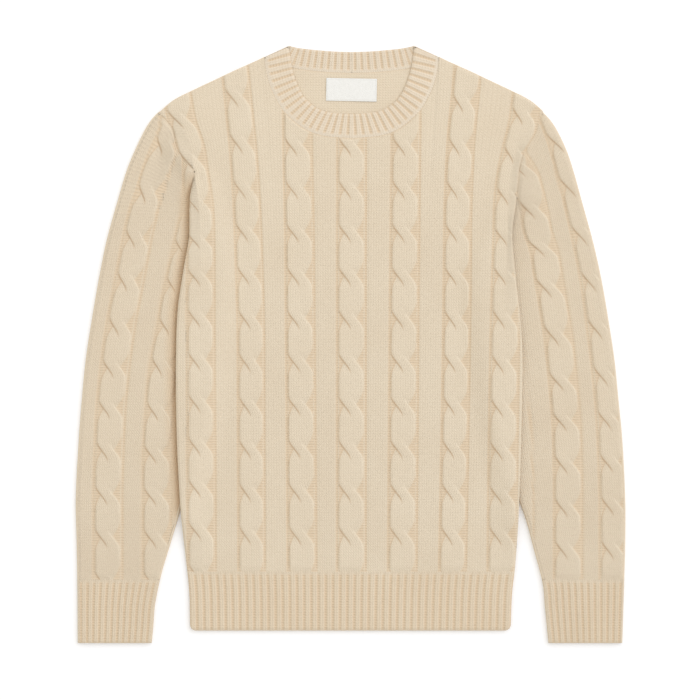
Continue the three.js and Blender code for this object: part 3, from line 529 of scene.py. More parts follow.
@dataclass(frozen=True)
class Ribbing:
    """Profile across one rib: two raised wales with a fine groove between them, and a valley."""

    rise: float = 0.7
    dip: float = 0.5
    width: float = 0.66
    groove: float = 0.42
    groove_width: float = 0.17
    wales: int = 3
    wale: float = 2.6

    def across(self, turns: np.ndarray) -> np.ndarray:
        """Place across the stitches, in millimetres: a purl wale in each valley, two plain ones beside it."""
        return (turns * self.wales + 0.5) * self.wale

    def profile(self, turns: np.ndarray) -> tuple[np.ndarray, np.ndarray]:
        """Height and hollow across ribs.

        Args:
            turns: Places across, counted in ribs, whole in the valleys.

        Returns:
            The height over the cloth's face, and how far each place is in a valley.
        """
        off = np.abs(turns - np.floor(turns) - 0.5) * 2
        crown = np.sqrt(np.maximum(0, 1 - (off / self.width) ** 3))
        groove = np.exp(-((off / self.groove_width) ** 2))
        height = -self.dip + (self.rise + self.dip) * crown - self.groove * groove
        return height, np.maximum(1 - smooth(0.25, 0.75, crown), 0.4 * groove)


RIBS = Ribbing()


@dataclass
class Patch:
    """A grid of places on the garment, row by row, with what the knitting does there."""

    x: np.ndarray
    y: np.ndarray
    z: np.ndarray
    across: np.ndarray
    along: np.ndarray
    hollow: np.ndarray
    painted_shading: np.ndarray | float = 0.0
    relief: Relief | None = None

    def places(self) -> np.ndarray:
        """Places in metres, as rows of columns of X, Y and Z."""
        return np.stack(np.broadcast_arrays(self.x, self.y, self.z), axis=-1) * MM

    def knitting(self) -> np.ndarray:
        """Place across, place along and hollow, in metres and as a part."""
        parts = np.broadcast_arrays(self.across * MM, self.along * MM, self.hollow)
        return np.stack(parts, axis=-1)

    def rope(self) -> np.ndarray:
        """Distance from the cable's middle, crossings counted down it, its strength, and the painted shade or
        highlight.
        """
        relief = self.relief or Relief.plain(self.hollow)
        parts = np.broadcast_arrays(relief.across, relief.turns, relief.strength, self.painted_shading)
        return np.stack(parts, axis=-1)


class Shell:
    """A closed shell of cloth, made of grids that are joined along their edges."""

    def __init__(self) -> None:
        """Starts with no cloth."""
        self.cloth = bmesh.new()
        self.knit = self.cloth.verts.layers.float_vector.new(KNIT)
        self.rope = self.cloth.verts.layers.float_color.new(ROPE)
        self.ring = self.cloth.verts.layers.int.new("ring")

    def lay(self, patch: Patch) -> list[list[bmesh.types.BMVert]]:
        """Adds a grid.

        Args:
            patch: The places of its points.

        Returns:
            Its points, row by row.
        """
        places = patch.places()
        knitting = patch.knitting()
        rope = patch.rope()
        rows, columns = places.shape[:2]
        made = bmesh.ops.create_grid(
            self.cloth, x_segments=columns - 1, y_segments=rows - 1, size=0.5
        )
        grid = [[None] * columns for _ in range(rows)]
        for vert in made["verts"]:
            row = round((vert.co.y + 0.5) * (rows - 1))
            column = round((vert.co.x + 0.5) * (columns - 1))
            vert.co = places[row, column]
            vert[self.knit] = knitting[row, column]
            vert[self.rope] = rope[row, column]
            vert[self.ring] = 1 if row == 0 else 2 if row == rows - 1 else 0
            grid[row][column] = vert
        return grid

    def join(self, first: list, second: list, sewn_above: float = math.inf) -> None:
        """Bridges two open rows of points.

        Args:
            first: Points of one row.
            second: Points of the other row.
            sewn_above: Height up the garment above which the rim is sewn, so that it stays crisp.
        """
        edges = []
        for row in (first, second):
            edges += [self.cloth.edges.get(pair) for pair in zip(row[:-1], row[1:])]
        for edge in edges:
            edge.smooth = min(vert.co.y for vert in edge.verts) < sewn_above * MM
        bmesh.ops.bridge_loops(self.cloth, edges=edges)

    def plate(self, upper: Patch, lower: Patch, sewn: tuple = (math.inf,) * 4) -> None:
        """Closes an upper and a lower face to one plate.

        Args:
            upper: Its upper face.
            lower: Its lower face.
            sewn: Height above which each of its rims is sewn: first row, last row, first column
                and last column.
        """
        top = self.lay(upper)
        bottom = self.lay(lower)
        self.join(top[0], bottom[0], sewn[0])
        self.join(top[-1], bottom[-1], sewn[1])
        self.join([row[0] for row in top], [row[0] for row in bottom], sewn[2])
        self.join([row[-1] for row in top], [row[-1] for row in bottom], sewn[3])

    def tube(self, outside: Patch, inside: Patch, sewn: tuple) -> None:
        """Closes the outside and the inside of a flattened tube, whose last columns meet the first.

        Args:
            outside: Its outer face.
            inside: Its inner face.
            sewn: The ends that are sewn: 1 for its first row, 2 for its last.
        """
        self.lay(outside)
        self.lay(inside)
        bmesh.ops.remove_doubles(self.cloth, verts=self.cloth.verts, dist=1e-6)
        for end in (1, 2):
            edges = [
                edge for edge in self.cloth.edges
                if edge.is_boundary and all(vert[self.ring] == end for vert in edge.verts)
            ]
            for edge in edges:
                edge.smooth = end not in sewn
            bmesh.ops.bridge_loops(self.cloth, edges=edges)

    def finish(self, name: str) -> bpy.types.Object:
        """Makes the object, with its faces outwards and smooth.

        Args:
            name: Name of the piece.

        Returns:
            The new object, linked to the scene.
        """
        bmesh.ops.remove_doubles(self.cloth, verts=self.cloth.verts, dist=1e-6)
        bmesh.ops.recalc_face_normals(self.cloth, faces=self.cloth.faces)
        for face in self.cloth.faces:
            face.smooth = True
        self.cloth.verts.layers.int.remove(self.ring)
        mesh = bpy.data.meshes.new(name)
        self.cloth.to_mesh(mesh)
        self.cloth.free()
        piece = bpy.data.objects.new(name, mesh)
        bpy.context.scene.collection.objects.link(piece)
        return piece


# Half of the neckband, from the fold at the shoulder to the middle, one row to each section
FRONT_NECK_SEAM = (
    (101.4, 334.1), (100.6, 322.8), (96.4, 304.3), (87.7, 284.5), (75.2, 266.6), (55.6, 250.9),
    (34, 242.6), (0, 239.3),
)
FRONT_NECK_EDGE = (
    (73, 347.2), (70.6, 329.8), (67.2, 314.1), (61.4, 298.5), (53.3, 285.1), (39.5, 274.1),
    (23, 269.2), (0, 267.8),
)
BACK_NECK_SEAM = (
    (101.4, 334.1), (84, 328.3), (67, 321.7), (46, 318.6), (23, 316.6), (0, 315.9),
)
BACK_NECK_EDGE = (
    (73, 347.2), (69, 346.2), (60, 344.6), (42, 342.6), (21, 340.9), (0, 340.2),
)


class NeckLine:
    """Half a neck curve, by section number, from the shoulder to the middle."""

    def __init__(self, rows: tuple, widest: int) -> None:
        """Eases a line through the sections.

        Args:
            rows: Distance from the neck's middle and height of each section.
            widest: The section at the neck's widest place.
        """
        self.last = len(rows) - 1
        self.widest = widest
        self.x = Curve(tuple((n, row[0]) for n, row in enumerate(rows)))
        self.y = Curve(tuple((n, row[1]) for n, row in enumerate(rows)))

    def at(self, section: np.ndarray) -> tuple[np.ndarray, np.ndarray]:
        """Distance from the neck's middle and height at a section."""
        return self.x.at(section), self.y.at(section)

    def section(self, distance: np.ndarray) -> np.ndarray:
        """The section below the widest place that lies at a distance from the neck's middle."""
        sections = np.linspace(self.last, self.widest, 400)
        return np.interp(distance, self.x.at(sections), sections)

    def beyond(self, section: np.ndarray, gap: float) -> tuple[np.ndarray, np.ndarray]:
        """A place just outside the line, off it by a gap at right angles."""
        step = 0.05
        before = np.stack(self.at(section - step))
        after = np.stack(self.at(section + step))
        run = before - after
        run = run / np.linalg.norm(run, axis=0)
        x, y = self.at(section)
        return x - gap * -run[1], y + gap * -run[0]


FRONT_NECK = NeckLine(FRONT_NECK_SEAM, 1)
BACK_NECK = NeckLine(BACK_NECK_SEAM, 0)
NECK_TURN_SECTIONS = Curve(((0, 3.42), (0.34, 3), (0.68, 2), (0.864, 1), (1, 0)))


class Columns:
    """Columns of points that run up a panel, placed between its edges and its cables.

    Each column stands between two of nine lines: the right edge, seven cables and the left edge.
    """

    def __init__(self, plan: list) -> None:
        """Keeps the plan of the columns.

        Args:
            plan: For each column its left line, the offset from it, its right line, the offset
                from that, its part of the way between, and its turn round the neck's corner.
        """
        table = np.array(plan, float)
        self.left = table[:, 0].astype(int)
        self.left_offset = table[:, 1]
        self.right = table[:, 2].astype(int)
        self.right_offset = table[:, 3]
        self.part = table[:, 4]
        self.turn = table[:, 5]
        self.count = len(plan)

    def x_at(self, y: np.ndarray) -> np.ndarray:
        """X of every column at heights whose last axis is the columns."""
        y = np.broadcast_to(y, np.shape(y)[:-1] + (self.count,))
        lines = [BODY_EDGE[Side.RIGHT], *BODY_CABLES, BODY_EDGE[Side.LEFT]]
        places = np.stack([line.at(y) for line in lines], axis=-1)
        left = np.take_along_axis(places, np.broadcast_to(self.left, y.shape)[..., None], -1)[..., 0]
        right = np.take_along_axis(places, np.broadcast_to(self.right, y.shape)[..., None], -1)[..., 0]
        return mix(left + self.left_offset, right + self.right_offset, self.part)


@dataclass
class Panel:
    """One layer of the body, from the hem up to the shoulders and the neckline."""

    name: str
    level: float
    cabled: bool
    neck: NeckLine
    offsets: tuple = CABLE_OFFSETS
    plain_steps: int = 5
    side_steps: int = 16
    corner_steps: int = 14
    row_step: float = 1.75
    blend_rows: int = 10
    fan_rows: int = 74
    side_rounding: float = 3.0
    side_drop: float = 1.9
    seam_rounding: float = 2.2
    seam_drop: float = 0.6
    corners: list = field(default_factory=list)

    def columns(self) -> Columns:
        """Plans the columns: close together on the cables and in the channels beside them.

        Returns:
            The columns, with the two corners of the neckline among them.
        """
        plan = []
        near = self.offsets
        for step in range(self.side_steps):
            plan.append((0, 0, 1, 0, step / self.side_steps, np.nan))
        for line in range(1, 8):
            if line > 1:
                plan += [(line, -off, line, 0, 0, np.nan) for off in near[:0:-1]]
            plan.append((line, 0, line, 0, 0, np.nan))
            if line < 7:
                plan += [(line, off, line, 0, 0, np.nan) for off in near[1:]]
                plan += self.plain_columns(line)
        for step in range(1, self.side_steps + 1):
            plan.append((7, 0, 8, 0, step / self.side_steps, np.nan))
        self.corners = [n for n, row in enumerate(plan) if row[5] == 1]
        return Columns(plan)

    def plain_columns(self, line: int) -> list:
        """Columns of the plain strip between a cable and the next one.

        Args:
            line: Number of the strip's left line.

        Returns:
            Rows of the plan.
        """
        if line not in (2, 5):
            parts = [(step / self.plain_steps, np.nan) for step in range(1, self.plain_steps)]
        else:
            turns = [(0.5 * step / self.corner_steps, step / self.corner_steps)
                     for step in range(1, self.corner_steps + 1)]
            outer = [(0.5 + 0.5 * step / 6, np.nan) for step in range(1, 6)]
            parts = turns + outer
            if line == 2:
                parts = [(1 - part, turn) for part, turn in reversed(parts)]
        far = self.offsets[-1]
        return [(line, far, line + 1, -far, part, turn) for part, turn in parts]

    def straight_heights(self) -> np.ndarray:
        """Heights of the straight rows, from the hem's seam to just under the first bent row."""
        return np.arange(HEM_SEAM_Y, STRAIGHT_ROWS_TOP_Y - 0.5 * self.row_step, self.row_step)

    def tops(self, columns: Columns) -> tuple[np.ndarray, np.ndarray]:
        """Top end of each column: on the shoulder line, or just outside the neckline."""
        order = np.arange(columns.count)
        at_neck = (order >= self.corners[0]) & (order <= self.corners[1])
        y = np.full(columns.count, 300.0)
        for _ in range(40):
            x = columns.x_at(y)
            distance = np.abs(x - NECK_MIDDLE_X)
            section = self.neck.section(distance)
            if self.neck is FRONT_NECK:
                turned = NECK_TURN_SECTIONS.at(np.nan_to_num(columns.turn))
                section = np.where(np.isnan(columns.turn), section, turned)
            else:
                section = np.where(columns.turn == 1, 0.0, section)
            neck_x, neck_y = self.neck.beyond(section, 0.02)
            y = np.where(at_neck, neck_y, SHOULDER_LINE.at(distance))
            y[0] = y[-1] = SHOULDER_TIP_Y
        side = np.where(x < NECK_MIDDLE_X, -1, 1)
        return np.where(at_neck, NECK_MIDDLE_X + side * neck_x, columns.x_at(y)), y

    def spots(
        self, columns: Columns, low: np.ndarray, blend: int, fan: int
    ) -> tuple[np.ndarray, np.ndarray, np.ndarray]:
        """Places of the rows of points: straight rows low down, then rows that fan to the top.

        Args:
            columns: The columns.
            low: Heights of the straight rows.
            blend: Number of blending rows.
            fan: Number of fanning rows.

        Returns:
            X, Y and the distance left to the panel's top, each by row and column.
        """
        top_x, top_y = self.tops(columns)
        level = columns.x_at(np.full(columns.count, STRAIGHT_ROWS_TOP_Y))
        share = (level - level[0]) / (level[-1] - level[0])
        turn = mix(UNDERARM_Y[Side.RIGHT], UNDERARM_Y[Side.LEFT], share)
        middle = np.linspace(0, 1, blend + 1)[:-1]
        upper = np.linspace(0, 1, fan + 1)
        y = np.concatenate([
            np.repeat(low[:, None], columns.count, axis=1),
            mix(STRAIGHT_ROWS_TOP_Y, turn[None, :], middle[:, None]),
            mix(turn[None, :], top_y[None, :], upper[:, None]),
        ])
        rise = np.concatenate([np.zeros(len(low) + blend), upper])[:, None]
        x = columns.x_at(y) + rise * (top_x - columns.x_at(top_y))
        return x, y, top_y[None, :] - y

    def relief(self, x: np.ndarray, y: np.ndarray) -> Relief:
        """Relief of the face: its cables where it has them.

        Args:
            x: Places across.
            y: Places up the garment.

        Returns:
            The relief at each place.
        """
        if not self.cabled:
            plain = Relief.plain(x)
            plain.hollow = plain.hollow + 0.25
            return plain
        lines = np.stack([line.at(y) for line in BODY_CABLES], axis=-1)
        nearest = np.argmin(np.abs(x[..., None] - lines), axis=-1)
        across = x - np.take_along_axis(lines, nearest[..., None], -1)[..., 0]
        across = across / np.array(BODY_CABLE_WIDTHS)[nearest]
        counts = np.stack([count.at(y) for count in BODY_CROSSINGS], axis=-1)
        return CABLE.relief(across, np.take_along_axis(counts, nearest[..., None], -1)[..., 0])

    def upper(self, columns: Columns) -> Patch:
        """The face that shows."""
        x, y, left = self.spots(columns, self.straight_heights(), self.blend_rows, self.fan_rows)
        relief = self.relief(x, y)
        edge = np.maximum(Pattern.side_edge(x, y) - np.abs(x), 0)
        left = np.maximum(left, 0)
        armhole = smooth(-28, -2, y - Pattern.underarm(x))
        side_in = np.clip(1 - edge / mix(self.side_rounding, self.seam_rounding, armhole), 0, 1)
        top_in = np.clip(1 - left / self.seam_rounding, 0, 1)
        drop = mix(self.side_drop, self.seam_drop, armhole) * (1 - np.sqrt(1 - side_in * side_in))
        drop = np.maximum(drop, self.seam_drop * (1 - np.sqrt(1 - top_in * top_in)))
        height = relief.height * smooth(-0.5, 3, np.minimum(edge, left)) * smooth(-1, 7, y - HEM_SEAM_Y)
        height = height + (crease_rise(FRONT_CREASES, x, y) if self.cabled else 0.0)
        z = self.level + WALL + Pattern.body_lift(x, y) + height - drop
        across = columns.x_at(np.zeros(columns.count))[None, :] + relief.shift
        # Painted shade on the rounded rims of the armhole and top seams.
        painted_shading = np.maximum(relief.painted_shading, 0.5 * np.maximum(side_in * armhole, top_in))
        # Painted highlight along the rounded left side edge of the body.
        painted_shading = np.where(x > 0, mix(painted_shading, -0.3, side_in * (1 - armhole)), painted_shading)
        return Patch(x, y, z, across, y, relief.hollow, painted_shading, relief)

    def lower(self, columns: Columns) -> Patch:
        """The face that lies on what is under it."""
        low = np.linspace(HEM_SEAM_Y, STRAIGHT_ROWS_TOP_Y, 41)[:-1]
        x, y, _ = self.spots(columns, low if not self.cabled else low[::2], 2, 8)
        z = self.level + Pattern.body_lift(x, y)
        if not self.cabled:
            z = z + crease_rise(BACK_CREASES, x, y)
        across = columns.x_at(np.zeros(columns.count))[None, :]
        # Painted shade near the sides of the lower face.
        painted_shading = 0.9 * (1 - smooth(4, 22, Pattern.side_edge(x, y) - np.abs(x)))
        return Patch(x, y, z, np.broadcast_to(across, x.shape), y, np.zeros_like(x), painted_shading)

    def build(self) -> bpy.types.Object:
        """Builds the panel.

        Returns:
            The new piece.
        """
        columns = self.columns()
        shell = Shell()
        sewn = (-math.inf, -math.inf, UNDERARM_Y[Side.RIGHT], UNDERARM_Y[Side.LEFT])
        shell.plate(self.upper(columns), self.lower(columns), sewn)
        return shell.finish(self.name)


@dataclass
class Sleeve:
    """A flattened sleeve, from the cuff's seam up to the armhole."""

    side: Side
    across_steps: int = 84
    fold_steps: int = 8
    lower_steps: int = 24
    straight_step: float = 1.6
    fan_rows: int = 70
    seam_overlap: float = 0.15
    seam_rounding: float = 2.2
    seam_drop: float = 0.6

    def rows(self, step: float, fan: int) -> tuple[np.ndarray, np.ndarray]:
        """Base height and rise towards the armhole of each row."""
        top = SLEEVE_STRAIGHT_TOP_Y[self.side]
        count = int((top - CUFF_SEAM_Y) / step)
        base = np.concatenate([np.linspace(CUFF_SEAM_Y, top, count + 1)[:-1], np.full(fan + 1, top)])
        rise = np.concatenate([np.zeros(count), np.linspace(0, 1, fan + 1)])
        return base, rise

    def places(self, part: np.ndarray, base: np.ndarray, rise: np.ndarray) -> tuple[np.ndarray, np.ndarray]:
        """Places on the plan, bent from straight rows low down to the armhole's seam.

        Args:
            part: Parts of the way from the outer fold to the inner one, by row.
            base: Height of each row before it is bent.
            rise: How far each row is bent to the armhole.

        Returns:
            X and Y by row and column.
        """
        side = self.side
        base = base[:, None]
        rise = rise[:, None]

        def armhole(share: np.ndarray) -> tuple[np.ndarray, np.ndarray]:
            """X and Y of the armhole's seam, by the part of the way down to the underarm."""
            height = mix(SHOULDER_TIP_Y, UNDERARM_Y[side], share)
            return BODY_EDGE[side].at(height) - side.sign * self.seam_overlap, height

        straight_outer = SLEEVE_OUTER[side].at(base)
        straight_inner = SLEEVE_INNER[side].at(base)
        arm_x, arm_y = armhole(part)
        x = mix(mix(straight_outer, straight_inner, part), arm_x, rise)
        y = mix(base, arm_y, rise)
        for fold, share, straight, far in (
            (SLEEVE_OUTER[side], 1 - part, straight_outer, 0.0),
            (SLEEVE_INNER[side], part, straight_inner, 1.0),
        ):
            end_x, end_y = armhole(np.full_like(rise, far))
            height = mix(base, end_y, rise)
            edge_x = np.where(rise == 1, end_x, fold.at(height))
            x = x + share * (edge_x - mix(straight, end_x, rise))
        return x, y

    def relief(self, x: np.ndarray, y: np.ndarray) -> Relief:
        """Relief of the upper layer, pressed flat at its folds and where the body lies on it, with painted
        shadow beside the body's edge on the right sleeve and a painted highlight on the left.
        """
        relief = Relief.plain(x)
        for cable in SLEEVE_CABLES[self.side]:
            across = x - cable.line.at(y)
            near = np.abs(across) < CABLE.half + CABLE.channel_width
            relief = CABLE.relief(across, cable.crossings.at(y)).over(relief, near)
        # One more purl channel on the left sleeve, sunk and painted with shade.
        if self.side is Side.LEFT:
            away = np.abs(x - LEFT_INNER_CHANNEL.at(y)) / CABLE.channel_width
            line = np.maximum(0, 1 - (2 * away) ** 2) * smooth(-250, -235, y) * smooth(0, 40, 45 - y)
            relief.height = relief.height - 1.3 * CABLE.channel_depth * line
            relief.hollow = np.maximum(relief.hollow, line)
            relief.painted_shading = np.maximum(relief.painted_shading, line)
        outward = np.abs(x)
        # A strip beside the body's edge on the right sleeve, sunk to purl level and painted with shade.
        if self.side is Side.RIGHT:
            off = outward - np.abs(BODY_EDGE[self.side].at(y))
            strip = (1 - smooth(5, 11, off)) * smooth(48, 80, y) * (1 - smooth(146, 166, y))
            relief.height = mix(relief.height, CABLE.purl_level, strip)
            relief.hollow = np.maximum(relief.hollow, strip)
            relief.painted_shading = np.maximum(relief.painted_shading, strip)
        to_outer = np.abs(SLEEVE_OUTER[self.side].at(y)) - outward
        to_inner = outward - np.abs(SLEEVE_INNER[self.side].at(y))
        below = y < UNDERARM_Y[self.side]
        from_body = outward - np.abs(BODY_EDGE[self.side].at(y))
        clear = np.where(below, from_body, LIFT_DROP)
        sewn = np.where(below, 1.0, 0.15 + 0.85 * smooth(0, 5, from_body))
        pressed = smooth(-5, 8, clear) * smooth(0, 6, to_outer) * smooth(0, 6, to_inner)
        pressed = pressed * smooth(-1, 7, y - CUFF_SEAM_Y)
        sunk = smooth(0, 3, np.minimum(to_outer, to_inner)) * smooth(-1, 7, y - CUFF_SEAM_Y)
        relief.height = relief.height * np.where(relief.height > 0, pressed * sewn, sunk)
        creases = crease_rise(SLEEVE_CREASES[self.side], x, y)
        relief.height = relief.height + creases * smooth(0, 8, to_outer) * smooth(0, 8, to_inner)
        # Painted shadow on the right sleeve beside the raised body edge; painted highlight on the left sleeve
        # beside it.
        near_body = smooth(0, 30, UNDERARM_Y[self.side] + 8 - y) * smooth(-225, -190, y)
        if self.side is Side.RIGHT:
            relief.painted_shading = np.maximum(relief.painted_shading, 1.9 * (1 - smooth(0, 17, clear)) * near_body)
        else:
            light = (1 - smooth(2, 11, clear)) * near_body
            relief.painted_shading = relief.painted_shading * (1 - light) - 0.5 * light
        return relief

    def parts(self, base: np.ndarray, count: int, margin: float) -> np.ndarray:
        """Parts across each row, close together on the cables and in their channels.

        Args:
            base: Height of each row.
            count: Number of steps across.
            margin: How far in from the folds the row starts and ends.

        Returns:
            Parts of the way from the outer fold to the inner one, by row and column.
        """
        outer = np.abs(SLEEVE_OUTER[self.side].at(base))
        inner = np.abs(SLEEVE_INNER[self.side].at(base))
        width = outer - inner
        stops = [margin + 0 * width]
        weights = []
        reach = CABLE.half + CABLE.channel_width
        cables = sorted(SLEEVE_CABLES[self.side], key=lambda cable: -abs(cable.line.at(0.0)))
        for number, cable in enumerate(cables):
            middle = outer - np.abs(cable.line.at(base))
            stops += [middle - reach, middle, middle + reach]
            weights += [0.08 if number == 0 else 0.09, 0.2, 0.2]
        stops.append(width - margin)
        weights.append(0.23)
        low = margin
        for number, stop in enumerate(stops):
            low = np.maximum(stop, low + (0.6 if number else 0))
            stops[number] = low
        high = width - margin
        for number in range(len(stops) - 1, -1, -1):
            high = np.minimum(stops[number], high)
            stops[number] = high
            high = high - 0.6
        ends = np.concatenate([[0], np.cumsum(weights)])
        ends = ends / ends[-1]
        share = np.linspace(0, 1, count + 1)
        table = np.stack(stops, axis=1)
        return np.stack([np.interp(share, ends, row) for row in table]) / width[:, None]

    def face(self, outside: bool) -> Patch:
        """One face of the tube, round its four sides, starting in the middle of the lower layer.

        Args:
            outside: Whether it is the outside or the inside.

        Returns:
            The grid, whose last column lies on its first.
        """
        side = self.side
        step = self.straight_step if outside else 14.0
        base, rise = self.rows(step, self.fan_rows if outside else 10)
        count = self.across_steps if outside else 30
        folds = self.fold_steps if outside else 3
        below = self.lower_steps if outside else 10
        radius = FOLD_OUTSIDE if outside else FOLD_INSIDE
        part = self.parts(base, count, FOLD_OUTSIDE)
        x, y = self.places(part, base, rise)
        lift = Pattern.sleeve_lift(side, x, y)
        relief = self.relief(x, y) if outside else Relief.plain(x)
        to_seam = np.abs(x - BODY_EDGE[side].at(y)) + np.where(rise[:, None] > 0, 0, 50)
        into = np.clip(1 - to_seam / self.seam_rounding, 0, 1) * (1.0 if outside else 0.0)
        into = np.where(y > UNDERARM_Y[side] - 1, into, 0)
        drop = self.seam_drop * (1 - np.sqrt(1 - into * into))
        # Painted shade on the rounded rim along the armhole seam.
        relief.painted_shading = np.maximum(relief.painted_shading, 0.5 * into)
        over = np.stack([x, y, TUBE_MIDDLE + radius + lift + relief.height - drop], axis=-1)
        width = np.abs(SLEEVE_OUTER[side].at(0.0) - SLEEVE_INNER[side].at(0.0))
        along = np.concatenate([[0], np.cumsum(np.hypot(
            np.diff(x.mean(axis=1)), np.diff(y.mean(axis=1))))])
        arcs = [self.fold(edge, base, rise, radius, folds) for edge in ("outer", "inner")]
        under_part = mix(part[:, :1], part[:, -1:], np.linspace(0, 1, below + 1)[None, :])
        under_x, under_y = self.places(under_part, base, rise)
        under_lift = Pattern.sleeve_lift(side, under_x, under_y)
        under_crease = crease_rise(SLEEVE_UNDER_CREASES, np.abs(under_x), under_y) if outside else 0.0
        under = np.stack([under_x, under_y, TUBE_MIDDLE - radius + under_lift + under_crease], axis=-1)
        half = below // 2
        ring = np.concatenate([
            under[:, half:0:-1], arcs[0][:, ::-1], over[:, 1:-1], arcs[1], under[:, below - 1:half - 1:-1],
        ], axis=1)
        wide = part * width + relief.shift * side.sign * -1
        turned = math.pi * radius
        start = np.concatenate([
            np.linspace(-0.5 * width - turned, -turned, half + 1)[:-1], np.linspace(-turned, 0, folds + 1)])
        end = np.concatenate([
            np.linspace(width, width + turned, folds + 1),
            np.linspace(width + turned, 1.5 * width + turned, half + 1)[1:]])

        def around(values: np.ndarray, before: np.ndarray, after: np.ndarray) -> np.ndarray:
            """Values of the upper layer, with those of the lower layer before and after them."""
            sides = [np.broadcast_to(before, (len(base), half + folds + 1)), values[:, 1:-1],
                     np.broadcast_to(after, (len(base), folds + 1 + half))]
            return np.concatenate(sides, axis=1)

        whole = Relief(*(around(getattr(relief, name), 0.0, 0.0) for name in relief.__dataclass_fields__))
        turning = -np.sqrt(np.maximum(0, np.sin(np.linspace(0, np.pi, folds + 1))))
        level = np.zeros(half)
        whole.hollow = around(relief.hollow, np.append(level, turning), np.append(turning, level))
        return Patch(ring[..., 0], ring[..., 1], ring[..., 2], around(wide, start, end),
                     np.repeat(along[:, None], ring.shape[1], axis=1), whole.hollow, whole.painted_shading, whole)

    def fold(self, which: str, base: np.ndarray, rise: np.ndarray, radius: float, steps: int) -> np.ndarray:
        """Points round one fold, from the upper layer down to the lower one, by row."""
        side = self.side
        outer = which == "outer"
        table = SLEEVE_OUTER[side] if outer else SLEEVE_INNER[side]
        end_y = SHOULDER_TIP_Y if outer else UNDERARM_Y[side]
        x, y = self.places(np.full((len(base), 1), 0.0 if outer else 1.0), base, rise)
        height = mix(base, end_y, rise)
        height = np.minimum(height, end_y - 6)
        way = side.sign if outer else -side.sign
        run = table.at(height + 4) - table.at(height - 4)
        outward = np.stack([np.full_like(run, way * 8.0), -way * run], axis=-1)
        if outer:
            tip = smooth(0.9, 1, rise)[:, None]
            outward = outward / np.linalg.norm(outward, axis=-1, keepdims=True)
            outward = mix(outward, np.array([0.15 * side.sign, 0.99]), tip)
        outward = outward / np.linalg.norm(outward, axis=-1, keepdims=True)
        centre = np.stack([x[:, 0], y[:, 0]], axis=-1) - FOLD_OUTSIDE * outward
        lift = Pattern.sleeve_lift(side, x[:, 0], y[:, 0])
        turn = np.linspace(0, np.pi, steps + 1)
        flat = centre[:, None, :] + outward[:, None, :] * (radius * np.sin(turn))[None, :, None]
        z = TUBE_MIDDLE + lift[:, None] + (radius * np.cos(turn))[None, :]
        return np.concatenate([flat, z[..., None]], axis=-1)

    def build(self) -> bpy.types.Object:
        """Builds the sleeve.

        Returns:
            The new piece.
        """
        shell = Shell()
        shell.tube(self.face(True), self.face(False), (1, 2))
        return shell.finish(f"{self.side.value}_sleeve_cloth")


